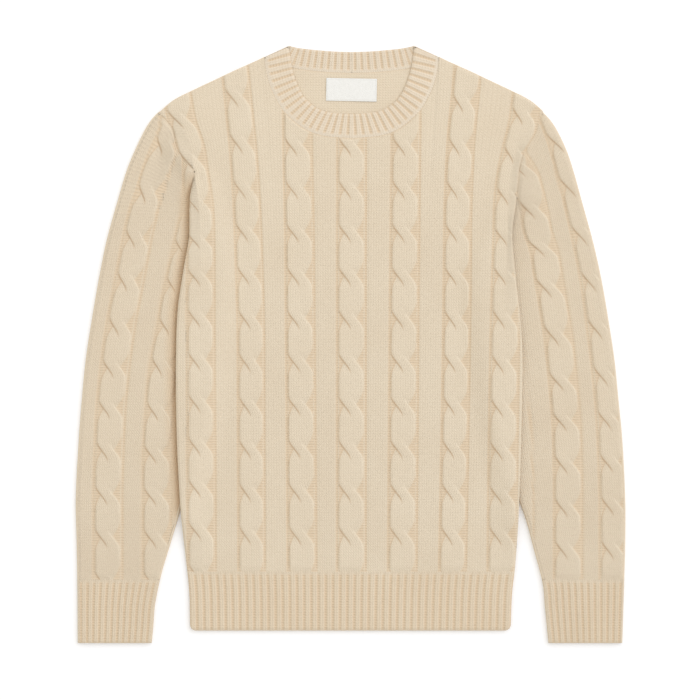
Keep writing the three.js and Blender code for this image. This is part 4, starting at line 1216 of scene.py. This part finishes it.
@dataclass
class Cuff:
    """A ribbed cuff: a short flattened tube."""

    side: Side
    ribs: float = 11.7
    start: float = 0.77
    steps: int = 10
    rows: int = 34
    end_roll: float = 0.8
    end_roll_width: float = 2.5

    def face(self, outside: bool) -> Patch:
        """One face of the tube, starting in the middle of the lower layer."""
        side = self.side
        rows = self.rows if outside else 4
        count = 2 * round(self.ribs * self.steps / 2) if outside else 24
        folds = 8 if outside else 3
        radius = FOLD_OUTSIDE if outside else FOLD_INSIDE
        y = np.linspace(CUFF_END_Y, CUFF_SEAM_Y, rows + 1)[:, None]
        outer = SLEEVE_OUTER[side].at(y)
        inner = SLEEVE_INNER[side].at(y)
        share = np.linspace(0, 1, count + 1)[None, :]
        start = outer - side.sign * FOLD_OUTSIDE
        end = inner + side.sign * FOLD_OUTSIDE
        x = mix(start, end, share)
        turns = share * self.ribs + self.start
        height, hollow = RIBS.profile(turns)
        rise = smooth(0, 5, y - CUFF_END_Y) * 0.3 + 0.7
        rise = rise * (0.25 + 0.75 * smooth(0, 6, CUFF_SEAM_Y - y))
        ease = smooth(0, 0.04, share) * smooth(0, 0.04, 1 - share)
        height = height * rise * ease if outside else 0 * x
        roll = self.end_roll * (1 - smooth(0, self.end_roll_width, y - CUFF_END_Y)) if outside else 0.0
        over = TUBE_MIDDLE + radius + height - roll
        under = TUBE_MIDDLE - radius + (-np.minimum(height, 0) if outside else 0 * x) + roll
        turn = np.linspace(0, np.pi, folds + 1)[None, :]
        arc_z = TUBE_MIDDLE + (radius - roll) * np.cos(turn)
        half = count // 2
        parts_x = [
            x[:, half:0:-1], (start + side.sign * radius * np.sin(turn))[:, ::-1], x[:, 1:-1],
            end - side.sign * radius * np.sin(turn), x[:, count - 1:half - 1:-1],
        ]
        flat = np.broadcast_to(under, x.shape)
        high = np.broadcast_to(over, x.shape)
        arc = np.broadcast_to(arc_z, (rows + 1, folds + 1))
        parts_z = [flat[:, half:0:-1], arc[:, ::-1], high[:, 1:-1], arc, flat[:, count - 1:half - 1:-1]]
        shade = hollow * smooth(1.5, 5, CUFF_SEAM_Y - y)
        none = np.zeros((rows + 1, folds + 1))
        parts_h = [shade[:, half:0:-1], none, shade[:, 1:-1], none, shade[:, count - 1:half - 1:-1]]
        ring_x = np.concatenate(parts_x, axis=1)
        ring_z = np.concatenate(parts_z, axis=1)
        ring_h = np.concatenate(parts_h, axis=1)
        ring_x[:, -1] = ring_x[:, 0]
        ring_z[:, -1] = ring_z[:, 0]
        rib_across = RIBS.across(turns[0])
        round_fold = np.linspace(0, math.pi * radius, folds + 1)
        wide = rib_across[-1]
        across = np.concatenate([
            -math.pi * radius - rib_across[half:0:-1], -round_fold[::-1], rib_across[1:-1],
            wide + round_fold, wide + math.pi * radius + wide - rib_across[count - 1:half - 1:-1],
        ])[None, :]
        ring_y = np.repeat(y, ring_x.shape[1], axis=1)
        # The rib valleys and grooves take painted shade as well as their purl texture.
        return Patch(ring_x, ring_y, ring_z, np.broadcast_to(across, ring_x.shape), ring_y, ring_h, ring_h)

    def build(self) -> bpy.types.Object:
        """Builds the cuff.

        Returns:
            The new piece.
        """
        shell = Shell()
        shell.tube(self.face(True), self.face(False), (2,))
        return shell.finish(f"{self.side.value}_cuff_ribbing")


@dataclass
class HemRib:
    """One layer of the ribbed hem."""

    name: str
    level: float
    ribs: int = 45
    steps: int = 10
    rows: int = 30
    width: float = 373.0
    edge_rounding: float = 2.4
    edge_drop: float = 1.7
    corner: float = 7.0
    corner_tuck: float = 0.7

    def face(self, up: bool) -> Patch:
        """The face that shows, or the one under it."""
        count = self.ribs * self.steps
        rows = self.rows if up else 4
        y = np.linspace(HEM_END_Y, HEM_SEAM_Y, rows + 1)[:, None]
        share = np.linspace(0, 1, count + 1)[None, :]
        x = mix(BODY_EDGE[Side.RIGHT].at(y), BODY_EDGE[Side.LEFT].at(y), share)
        height, hollow = RIBS.profile(share * self.ribs)
        rise = 0.25 + 0.75 * smooth(0, 6, HEM_SEAM_Y - y)
        side = np.minimum(share, 1 - share) * self.width
        bottom = y - HEM_END_Y
        beside = np.minimum(side, bottom + 0 * side)
        into = np.clip(1 - beside / self.edge_rounding, 0, 1)
        drop = self.edge_drop * (1 - np.sqrt(np.maximum(0, 1 - into * into)))
        corner = self.corner
        away = np.maximum(0, corner - side) ** 2 + np.maximum(0, corner - bottom) ** 2
        tuck = np.maximum(0, np.sqrt(away) - corner)
        tuck = self.corner_tuck * np.where((side < corner) & (bottom < corner), tuck, 0)
        y = y + tuck
        x = x - np.sign(x) * tuck
        shown = WALL + height * rise * smooth(0, self.edge_rounding, side) - drop
        z = self.level + (shown if up else 0 * x)
        hollow = hollow * smooth(1.5, 5, HEM_SEAM_Y - y)
        across = RIBS.across(share * self.ribs) + 0 * x
        # The rib valleys and grooves take painted shade as well as their purl texture.
        return Patch(x, y + 0 * x, z, across, y + 0 * x, hollow + 0 * x, hollow)

    def build(self) -> bpy.types.Object:
        """Builds the rib.

        Returns:
            The new piece.
        """
        shell = Shell()
        shell.plate(self.face(True), self.face(False), (math.inf, -math.inf, math.inf, math.inf))
        return shell.finish(self.name)


@dataclass
class Neckband:
    """The neckband: one flattened ring of ribs, its front over its back."""

    front_ribs: int = 35
    back_ribs: int = 23
    steps: int = 10
    rows: int = 20
    height: float = 28.0
    edge_rounding: float = 2.4
    edge_drop: float = 1.3
    seam_rounding: float = 2.0
    seam_drop: float = 0.5

    def half(self, seam: NeckLine, edge: NeckLine, share: np.ndarray, row: np.ndarray) -> tuple:
        """Places on one strip of the band.

        Args:
            seam: The strip's seam line.
            edge: Its free edge.
            share: Places from the right end to the left one, 0 to 1.
            row: Places from the seam to the edge, 0 to 1.

        Returns:
            X and Y by row and column.
        """
        way = 2 * share - 1
        sections = np.linspace(seam.last, 0, 300)
        middle = (np.stack(seam.at(sections)) + np.stack(edge.at(sections))) / 2
        run = np.concatenate([[0], np.cumsum(np.hypot(*np.diff(middle)))])
        section = np.interp(np.abs(way), run / run[-1], sections)
        seam_x, seam_y = seam.at(section)
        edge_x, edge_y = edge.at(section)
        x = NECK_MIDDLE_X + np.sign(way) * mix(seam_x, edge_x, row)
        return x, mix(seam_y, edge_y, row)

    def face(self, outside: bool) -> Patch:
        """One face of the ring, starting in the middle of the back strip."""
        rows = self.rows if outside else 16
        row = np.linspace(0, 1, rows + 1)[:, None]
        front = self.front_ribs * self.steps
        back = self.back_ribs * self.steps
        folds = 8
        radius = FOLD_OUTSIDE if outside else FOLD_INSIDE
        share = np.linspace(0, 1, front + 1)[None, :]
        back_share = np.linspace(0, 1, back + 1)[None, :]
        over_x, over_y = self.half(FRONT_NECK, FRONT_NECK_FREE, share, row)
        back_x, back_y = self.half(BACK_NECK, BACK_NECK_FREE, back_share, row)
        height, hollow = RIBS.profile(share * self.front_ribs)
        fade = smooth(0.08, 0.19, row) * (1 - 0.6 * smooth(0.9, 1, row))
        free = np.clip(1 - (1 - row) * self.height / self.edge_rounding, 0, 1)
        seam = np.clip(1 - row * self.height / self.seam_rounding, 0, 1)
        drop = self.edge_drop * (1 - np.sqrt(1 - free * free))
        drop = drop + self.seam_drop * (1 - np.sqrt(1 - seam * seam))
        ends = smooth(0, 0.02, share) * smooth(0, 0.02, 1 - share)
        inner_height, inner_hollow = RIBS.profile(back_share * self.back_ribs)
        hollow = hollow * smooth(0.07, 0.17, row)
        inner_hollow = inner_hollow * smooth(0.07, 0.17, row)
        if outside:
            knobs = 0.6 + 0.4 * np.cos(2 * np.pi * RIBS.wales * self.front_ribs * share)
            chain = 0.3 * knobs * np.exp(-(((row - 0.055) / 0.03) ** 2))
            over_z = TUBE_MIDDLE + radius + (height * fade + chain) * ends - drop
            back_z = 0 * back_x
        else:
            over_z = TUBE_MIDDLE + radius + 0 * over_x
            shown = 1 - smooth(60, 70, np.abs(back_x))
            back_z = TUBE_MIDDLE - radius + shown * (inner_height - RIBS.rise) * fade
            back_z = back_z - drop * shown
        turn = np.linspace(0, np.pi, folds + 1)
        arcs = []
        for way in (-1, 1):
            end_x, end_y = self.half(FRONT_NECK, FRONT_NECK_FREE, np.array([[0.5 + 0.5 * way]]), row)
            outward = np.array([way * 0.42, 0.9])
            outward = outward / np.linalg.norm(outward)
            centre_x = end_x - FOLD_OUTSIDE * outward[0]
            centre_y = end_y - FOLD_OUTSIDE * outward[1]
            arcs.append(np.stack(np.broadcast_arrays(
                centre_x + outward[0] * radius * np.sin(turn)[None, :],
                centre_y + outward[1] * radius * np.sin(turn)[None, :],
                TUBE_MIDDLE + radius * np.cos(turn)[None, :],
            ), axis=-1))
        over = np.stack(np.broadcast_arrays(over_x, over_y, over_z), axis=-1)
        under = np.stack(np.broadcast_arrays(back_x, back_y, back_z), axis=-1)
        half = back // 2
        ring = np.concatenate([
            under[:, half:0:-1], arcs[0][:, ::-1], over[:, 1:-1], arcs[1], under[:, back - 1:half - 1:-1],
        ], axis=1)
        none = np.zeros((rows + 1, folds + 1))
        shade = np.broadcast_to(hollow, over_x.shape)
        shade_back = np.broadcast_to(inner_hollow, back_x.shape)
        hollow_ring = np.concatenate([
            shade_back[:, half:0:-1], none, shade[:, 1:-1], none, shade_back[:, back - 1:half - 1:-1],
        ], axis=1)
        front_across = RIBS.across(share[0] * self.front_ribs)
        back_across = RIBS.across(back_share[0] * self.back_ribs)
        round_fold = np.linspace(0, math.pi * radius, folds + 1)
        wide = front_across[-1]
        across = np.concatenate([
            -math.pi * radius - back_across[half:0:-1], -round_fold[::-1], front_across[1:-1],
            wide + round_fold, wide + math.pi * radius + back_across[-1] - back_across[back - 1:half - 1:-1],
        ])
        across = np.repeat(across[None, :], rows + 1, axis=0)
        along = np.repeat(row * self.height, ring.shape[1], axis=1)
        # The rib valleys and grooves take painted shade as well as their purl texture.
        return Patch(ring[..., 0], ring[..., 1], ring[..., 2], across, along, hollow_ring, hollow_ring)

    def build(self) -> bpy.types.Object:
        """Builds the band.

        Returns:
            The new piece.
        """
        shell = Shell()
        shell.tube(self.face(True), self.face(False), (1,))
        return shell.finish("neckband_ribbing")


FRONT_NECK_FREE = NeckLine(FRONT_NECK_EDGE, 0)
BACK_NECK_FREE = NeckLine(BACK_NECK_EDGE, 0)


@dataclass
class NeckLabel:
    """The blank woven label inside the back of the neck."""

    width: float = 59.0
    height: float = 26.6
    thickness: float = 0.5
    x: float = 1.1
    y: float = 296.0
    turn: float = -0.02

    def face(self, up: bool) -> Patch:
        """The label's upper or lower face."""
        across = np.linspace(-0.5, 0.5, 61)[None, :] * self.width
        along = np.linspace(-0.5, 0.5, 29)[:, None] * self.height
        x = self.x + across * math.cos(self.turn) - along * math.sin(self.turn)
        y = self.y + across * math.sin(self.turn) + along * math.cos(self.turn)
        wave = 0.12 * np.sin(across / 9.0) + 0.1 * np.sin(along / 6.0 + 1.0)
        z = WALL + 0.3 + (self.thickness if up else 0.0) + wave + 0.12
        inset = np.minimum(self.width / 2 - np.abs(across), self.height / 2 - np.abs(along))
        return Patch(x, y, z, across + 0 * x, along + 0 * x, inset + 0 * x)

    def build(self) -> bpy.types.Object:
        """Builds the label.

        Returns:
            The new piece.
        """
        shell = Shell()
        shell.plate(self.face(True), self.face(False))
        return shell.finish("neck_label_tape")


class NodeTree:
    """Short calls for building a material's nodes."""

    def __init__(self, name: str) -> None:
        """Starts an empty material with a shader and an output.

        Args:
            name: Name of the material.
        """
        self.material = bpy.data.materials.new(name)
        self.material.use_nodes = True
        self.nodes = self.material.node_tree.nodes
        self.links = self.material.node_tree.links
        self.nodes.clear()
        self.shader = self.nodes.new("ShaderNodeBsdfPrincipled")
        output = self.nodes.new("ShaderNodeOutputMaterial")
        self.links.new(self.shader.outputs[0], output.inputs[0])

    def feed(self, socket: bpy.types.NodeSocket, value: object) -> None:
        """Links a socket or sets its value."""
        if isinstance(value, bpy.types.NodeSocket):
            self.links.new(value, socket)
        else:
            socket.default_value = value

    def math(self, kind: str, *values: object) -> bpy.types.NodeSocket:
        """Result of a Math node."""
        node = self.nodes.new("ShaderNodeMath")
        node.operation = kind
        for socket, value in zip(node.inputs, values):
            self.feed(socket, value)
        return node.outputs[0]

    def blend(self, factor: object, first: object, second: object) -> bpy.types.NodeSocket:
        """Colour mixed from two by a factor."""
        node = self.nodes.new("ShaderNodeMix")
        node.data_type = "RGBA"
        self.feed(node.inputs[0], factor)
        self.feed(node.inputs[6], first)
        self.feed(node.inputs[7], second)
        return node.outputs[2]

    def noise(self, scale: float, detail: float, low: float, high: float) -> bpy.types.NodeSocket:
        """Noise on the piece's own place in metres, spread from low to high."""
        place = self.nodes.new("ShaderNodeTexCoord")
        node = self.nodes.new("ShaderNodeTexNoise")
        node.inputs["Scale"].default_value = scale
        node.inputs["Detail"].default_value = detail
        self.links.new(place.outputs["Object"], node.inputs["Vector"])
        spread = self.nodes.new("ShaderNodeMapRange")
        spread.inputs[1].default_value = 0.3
        spread.inputs[2].default_value = 0.7
        spread.inputs[3].default_value = low
        spread.inputs[4].default_value = high
        self.links.new(node.outputs[0], spread.inputs[0])
        return spread.outputs[0]

    def ramp(self, value: object, low: float, high: float, start: float, end: float) -> bpy.types.NodeSocket:
        """Value eased from start at low to end at high."""
        node = self.nodes.new("ShaderNodeMapRange")
        node.interpolation_type = "SMOOTHSTEP"
        self.feed(node.inputs[0], value)
        for socket, number in zip(node.inputs[1:5], (low, high, start, end)):
            socket.default_value = number
        return node.outputs[0]

    def attribute(self, name: str) -> tuple:
        """The three parts of a piece's attribute, and its fourth part where it has one."""
        node = self.nodes.new("ShaderNodeAttribute")
        node.attribute_name = name
        parts = self.nodes.new("ShaderNodeSeparateXYZ")
        self.links.new(node.outputs["Vector"], parts.inputs[0])
        return parts.outputs[0], parts.outputs[1], parts.outputs[2], node.outputs["Alpha"]


@dataclass(frozen=True)
class KnitFinish:
    """Oatmeal wool: stitches in wales, purl bars in the hollows, and a soft bloom of fibres."""

    name: str
    light: tuple = (0.80, 0.69, 0.53, 1)
    shade: tuple = (0.75, 0.63, 0.47, 1)
    # Colour of the painted shade in purl hollows, rib valleys and seams.
    hollow: tuple = (0.74, 0.58, 0.40, 1)
    # Colour of the painted deep shade: crease lines at the crossings and the shadow beside the body's edge.
    painted_deep_shade: tuple = (0.585, 0.41, 0.25, 1)
    # Colour of the painted highlight.
    painted_highlight: tuple = (0.88, 0.77, 0.60, 1)
    wale: float = 2.9 * MM
    course: float = 3.05 * MM
    bump: float = 0.35 * MM
    ladder: float = 0.24

    def material(self) -> bpy.types.Material:
        """Makes the material.

        Returns:
            The new material.
        """
        tree = NodeTree(self.name)
        across, along, hollow, _ = tree.attribute(KNIT)
        painted_deep_shade, painted_highlight, painted_shading = self.rope_lines(tree)
        turn = tree.math("FRACT", tree.math("DIVIDE", across, self.wale))
        off = tree.math("ABSOLUTE", tree.math("SUBTRACT", turn, 0.5))
        step = tree.math("ADD", tree.math("DIVIDE", along, self.course), tree.math("MULTIPLY", off, 1.1))
        bow = tree.math("SINE", tree.math("MULTIPLY", step, 2 * math.pi))
        edge = tree.math("POWER", tree.math("MULTIPLY", off, 2.0), 3.0)
        stitch = tree.math("SUBTRACT", tree.math("MULTIPLY", bow, 0.5), edge)
        bar = tree.math("SINE", tree.math("MULTIPLY", tree.math("DIVIDE", along, self.course), 2 * math.pi))
        loose = tree.math("ADD", 1.0, tree.math("MINIMUM", hollow, 0.0))
        hollow = tree.math("MAXIMUM", hollow, 0.0)
        knit = tree.nodes.new("ShaderNodeMix")
        tree.feed(knit.inputs[0], hollow)
        tree.feed(knit.inputs[2], stitch)
        tree.feed(knit.inputs[3], bar)
        height = tree.math("ADD", knit.outputs[0], tree.noise(900, 3, -0.35, 0.35))
        height = tree.math("MULTIPLY", height, loose)
        tone = tree.math("ADD", tree.noise(14, 2, 0.25, 0.75), tree.noise(420, 3, -0.3, 0.3))
        body = tree.blend(tone, self.shade, self.light)
        bars = tree.math("MULTIPLY", hollow, tree.math("MULTIPLY", bar, -self.ladder))
        # Painted shade: hollows take the hollow colour, striped along the purl bars; painted highlight where
        # painted shading is below 0 and on the strands' edges; painted deep shade in creases and deep shade.
        near = tree.math("MINIMUM", painted_shading, 1.0)
        dark = tree.math("MAXIMUM", tree.math("ADD", tree.math("MULTIPLY", near, 0.9), bars), 0.0)
        colour = tree.blend(dark, body, self.hollow)
        lit = tree.math("MAXIMUM", painted_highlight, tree.math("MULTIPLY", painted_shading, -1.0))
        colour = tree.blend(lit, colour, self.painted_highlight)
        painted_deep_shade = tree.math("MAXIMUM", painted_deep_shade, tree.ramp(painted_shading, 1.0, 2.0, 0.0, 0.9))
        colour = tree.blend(painted_deep_shade, colour, self.painted_deep_shade)
        tree.feed(tree.shader.inputs["Base Color"], colour)
        tree.feed(tree.shader.inputs["Roughness"], tree.noise(60, 2, 0.85, 0.98))
        tree.shader.inputs["Specular IOR Level"].default_value = 0.15
        tree.shader.inputs["Sheen Weight"].default_value = 0.12
        tree.shader.inputs["Sheen Roughness"].default_value = 0.5
        bump = tree.nodes.new("ShaderNodeBump")
        bump.inputs["Strength"].default_value = 0.8
        bump.inputs["Distance"].default_value = self.bump
        tree.links.new(height, bump.inputs["Height"])
        tree.links.new(bump.outputs[0], tree.shader.inputs["Normal"])
        return tree.material

    def rope_lines(self, tree: NodeTree) -> tuple:
        """Thin lines painted on a cable's strands: painted shade along the crease beside each crossing and
        round each leaf, and a painted highlight along the over strand's right edge.

        Args:
            tree: The material's nodes.

        Returns:
            How far each place takes the painted deep shade and the painted highlight, and its painted
            shading.
        """
        across, turns, strength, painted_shading = tree.attribute(ROPE)
        part = tree.math("SUBTRACT", tree.math("FRACT", tree.math("ADD", turns, 0.5)), 0.5)
        below = tree.math("MULTIPLY", part, CABLE.repeat)
        start = CABLE.crossing_start - CABLE.crossing_length / 2
        end = CABLE.crossing_start + CABLE.crossing_length / 2
        lead = tree.ramp(below, start, end, -CABLE.strand_offset, CABLE.strand_offset)
        beside = tree.math("SUBTRACT", across, lead)
        off_edge = tree.math("ABSOLUTE", tree.math("ADD", beside, CABLE.strand_half - 0.3))
        fade = tree.math("MULTIPLY", tree.ramp(below, -12, -3, 0.15, 1), tree.ramp(below, 5, 15, 1, 0))
        painted_deep_shade = tree.math("MULTIPLY", tree.ramp(off_edge, 0.0, 1.7, 0.8, 0), fade)
        start = CABLE.under_start - CABLE.under_length / 2
        end = CABLE.under_start + CABLE.under_length / 2
        leaf = tree.ramp(below, start, end, CABLE.strand_offset, -CABLE.strand_offset)
        beside_leaf = tree.math("SUBTRACT", across, leaf)
        off_leaf = tree.math("ABSOLUTE", tree.math("ADD", beside_leaf, CABLE.strand_half - 0.3))
        fade = tree.math("MULTIPLY", tree.ramp(below, -2, 2, 0, 1), tree.ramp(below, 14, 24, 1, 0.4))
        outline = tree.math("MULTIPLY", tree.ramp(off_leaf, 0.0, 1.3, 0.34, 0), fade)
        painted_deep_shade = tree.math("MAXIMUM", painted_deep_shade, outline)
        right = tree.math("ABSOLUTE", tree.math("SUBTRACT", beside, CABLE.strand_half - 1.6))
        shown = tree.math("MULTIPLY", tree.ramp(below, -10, -3, 0, 1), tree.ramp(below, 12, 22, 1, 0.3))
        painted_highlight = tree.math("MULTIPLY", tree.ramp(right, 0.0, 1.8, 0.4, 0), shown)
        painted_deep_shade = tree.math("MULTIPLY", painted_deep_shade, strength)
        # The whole cable also takes a little painted highlight.
        painted_highlight = tree.math("MULTIPLY", tree.math("ADD", painted_highlight, 0.12), strength)
        return painted_deep_shade, painted_highlight, painted_shading


@dataclass(frozen=True)
class TapeFinish:
    """Off-white woven tape with a line of stitches inside its edges."""

    name: str = "label_tape"

    def material(self) -> bpy.types.Material:
        """Makes the material.

        Returns:
            The new material.
        """
        tree = NodeTree(self.name)
        across, along, inset, _ = tree.attribute(KNIT)
        warp = tree.math("SINE", tree.math("MULTIPLY", across, 2 * math.pi / (0.5 * MM)))
        weft = tree.math("SINE", tree.math("MULTIPLY", along, 2 * math.pi / (0.4 * MM)))
        weave = tree.math("MULTIPLY", warp, weft)
        line = tree.math("SUBTRACT", inset, 1.7)
        line = tree.math("SUBTRACT", 1.0, tree.math("MULTIPLY", tree.math("ABSOLUTE", line), 3.0))
        line = tree.math("MAXIMUM", line, 0.0)
        tone = tree.math("ADD", tree.noise(300, 2, 0.0, 0.14), tree.math("MULTIPLY", line, 0.4))
        colour = tree.blend(tone, (0.915, 0.905, 0.86, 1), (0.68, 0.66, 0.61, 1))
        tree.feed(tree.shader.inputs["Base Color"], colour)
        tree.feed(tree.shader.inputs["Roughness"], tree.noise(200, 2, 0.6, 0.8))
        bump = tree.nodes.new("ShaderNodeBump")
        bump.inputs["Strength"].default_value = 0.5
        bump.inputs["Distance"].default_value = 0.12 * MM
        tree.links.new(tree.math("SUBTRACT", weave, tree.math("MULTIPLY", line, 3.0)), bump.inputs["Height"])
        tree.links.new(bump.outputs[0], tree.shader.inputs["Normal"])
        return tree.material


@dataclass(frozen=True)
class Studio:
    """Camera, light and floor."""

    middle: tuple = (-0.0006, -0.0066)
    view_width: float = 0.812
    lens: float = 85.0
    sensor: float = 36.0
    key_strength: float = 0.86
    key_spread: float = 50.0
    key_elevation: float = 42.0
    key_azimuth: float = 38.0
    key_colour: tuple = (0.96, 1.0, 1.13)
    fill: float = 0.812
    top_power: float = 1.0
    top_size: float = 0.6
    top_place: tuple = (0.0, 0.8, 0.9)
    top_way: tuple = (0.0, 0.6, 0.9)
    fill_colour: tuple = (1.0, 0.985, 0.955)

    def camera(self) -> None:
        """Sets the camera straight over the garment."""
        data = bpy.data.cameras.new("camera")
        data.lens = self.lens
        data.sensor_width = self.sensor
        camera = bpy.data.objects.new("camera", data)
        height = self.view_width * self.lens / self.sensor
        camera.location = (*self.middle, height + 0.008)
        bpy.context.scene.collection.objects.link(camera)
        bpy.context.scene.camera = camera

    def lights(self) -> None:
        """Hangs one large soft light at the upper right and a weak one at the top, and fills the rest."""
        data = bpy.data.lights.new("key", "SUN")
        data.energy = self.key_strength
        data.color = self.key_colour
        data.angle = math.radians(self.key_spread)
        key = bpy.data.objects.new("key", data)
        up = math.radians(self.key_elevation)
        round_to = math.radians(self.key_azimuth)
        way = Vector((math.cos(up) * math.cos(round_to), math.cos(up) * math.sin(round_to), math.sin(up)))
        key.location = way
        key.rotation_euler = way.to_track_quat("Z", "Y").to_euler()
        bpy.context.scene.collection.objects.link(key)
        data = bpy.data.lights.new("top", "AREA")
        data.energy = self.top_power
        data.color = self.fill_colour
        data.size = self.top_size
        top = bpy.data.objects.new("top", data)
        top.location = self.top_place
        top.rotation_euler = Vector(self.top_way).to_track_quat("Z", "Y").to_euler()
        bpy.context.scene.collection.objects.link(top)
        world = bpy.data.worlds.new("studio")
        world.use_nodes = True
        world.node_tree.nodes["Background"].inputs[0].default_value = (*self.fill_colour, 1)
        world.node_tree.nodes["Background"].inputs[1].default_value = self.fill
        bpy.context.scene.world = world

    def floor(self) -> None:
        """Lays a white floor just under the garment."""
        shape = bmesh.new()
        bmesh.ops.create_grid(shape, x_segments=1, y_segments=1, size=4.0)
        for vert in shape.verts:
            vert.co.z = -0.0003
        mesh = bpy.data.meshes.new("floor")
        shape.to_mesh(mesh)
        shape.free()
        floor = bpy.data.objects.new("floor", mesh)
        tree = NodeTree("floor_white")
        tree.shader.inputs["Base Color"].default_value = (0.93, 0.93, 0.93, 1)
        tree.shader.inputs["Roughness"].default_value = 0.9
        tree.shader.inputs["Emission Color"].default_value = (1, 1, 1, 1)
        tree.shader.inputs["Emission Strength"].default_value = 0.12
        mesh.materials.append(tree.material)
        bpy.context.scene.collection.objects.link(floor)

    def build(self) -> None:
        """Sets up camera, light and floor."""
        self.camera()
        self.lights()
        self.floor()
        bpy.context.scene.view_settings.view_transform = "Standard"


def dress(piece: bpy.types.Object, node: str, finish: bpy.types.Material) -> None:
    """Puts a finish on a piece and lets it stand for its solid.

    Args:
        piece: The piece.
        node: The solid that it replaces.
        finish: Its material.
    """
    piece.data.materials.append(finish)
    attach(piece, "root")
    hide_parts(node)
    log.info("%s: %d faces", piece.name, len(piece.data.polygons))


def main() -> None:
    """Builds the studio and the garment, and reports each piece."""
    logging.basicConfig(level=logging.INFO, format="%(message)s")
    Studio().build()
    wool = KnitFinish("oatmeal_knit").material()
    # Ribbing colours a little darker than the body's wool: painted shade on the cuffs and hem.
    ribbing = KnitFinish("oatmeal_ribbing", wale=RIBS.wale * MM, ladder=0.1,
                         light=(0.785, 0.672, 0.513, 1), shade=(0.735, 0.612, 0.453, 1)).material()
    # Neckband colours lighter than the body's wool: painted light.
    collar = KnitFinish("oatmeal_neck_ribbing", wale=RIBS.wale * MM, ladder=0.1,
                        light=(0.835, 0.73, 0.585, 1), shade=(0.79, 0.68, 0.535, 1)).material()
    # Sleeve colours a little darker than the body's wool: painted shade.
    sleeve_wool = KnitFinish("oatmeal_sleeve_knit", light=(0.782, 0.668, 0.508, 1),
                             shade=(0.732, 0.608, 0.45, 1)).material()
    tape = TapeFinish().material()

    back = Panel("back_cloth", 0.0, False, BACK_NECK, offsets=(0, 6, 12, 18), plain_steps=3,
                 side_steps=4, corner_steps=8, row_step=9.0, blend_rows=3, fan_rows=50).build()
    dress(back, "back_panel", wool)
    front = Panel("front_cloth", FRONT_LEVEL, True, FRONT_NECK).build()
    dress(front, "front_panel", wool)
    for side in Side:
        sleeve = Sleeve(side).build()
        dress(sleeve, f"{side.value}_sleeve", sleeve_wool)
        cuff = Cuff(side).build()
        dress(cuff, f"{side.value}_cuff", ribbing)
    back_hem = HemRib("back_hem_ribbing", 0.0, steps=8, rows=8).build()
    dress(back_hem, "back_hem_rib", ribbing)
    front_hem = HemRib("front_hem_ribbing", FRONT_LEVEL).build()
    dress(front_hem, "front_hem_rib", ribbing)
    band = Neckband().build()
    dress(band, "neckband", collar)
    label = NeckLabel().build()
    dress(label, "neck_label", tape)


if __name__ == "__main__":
    main()
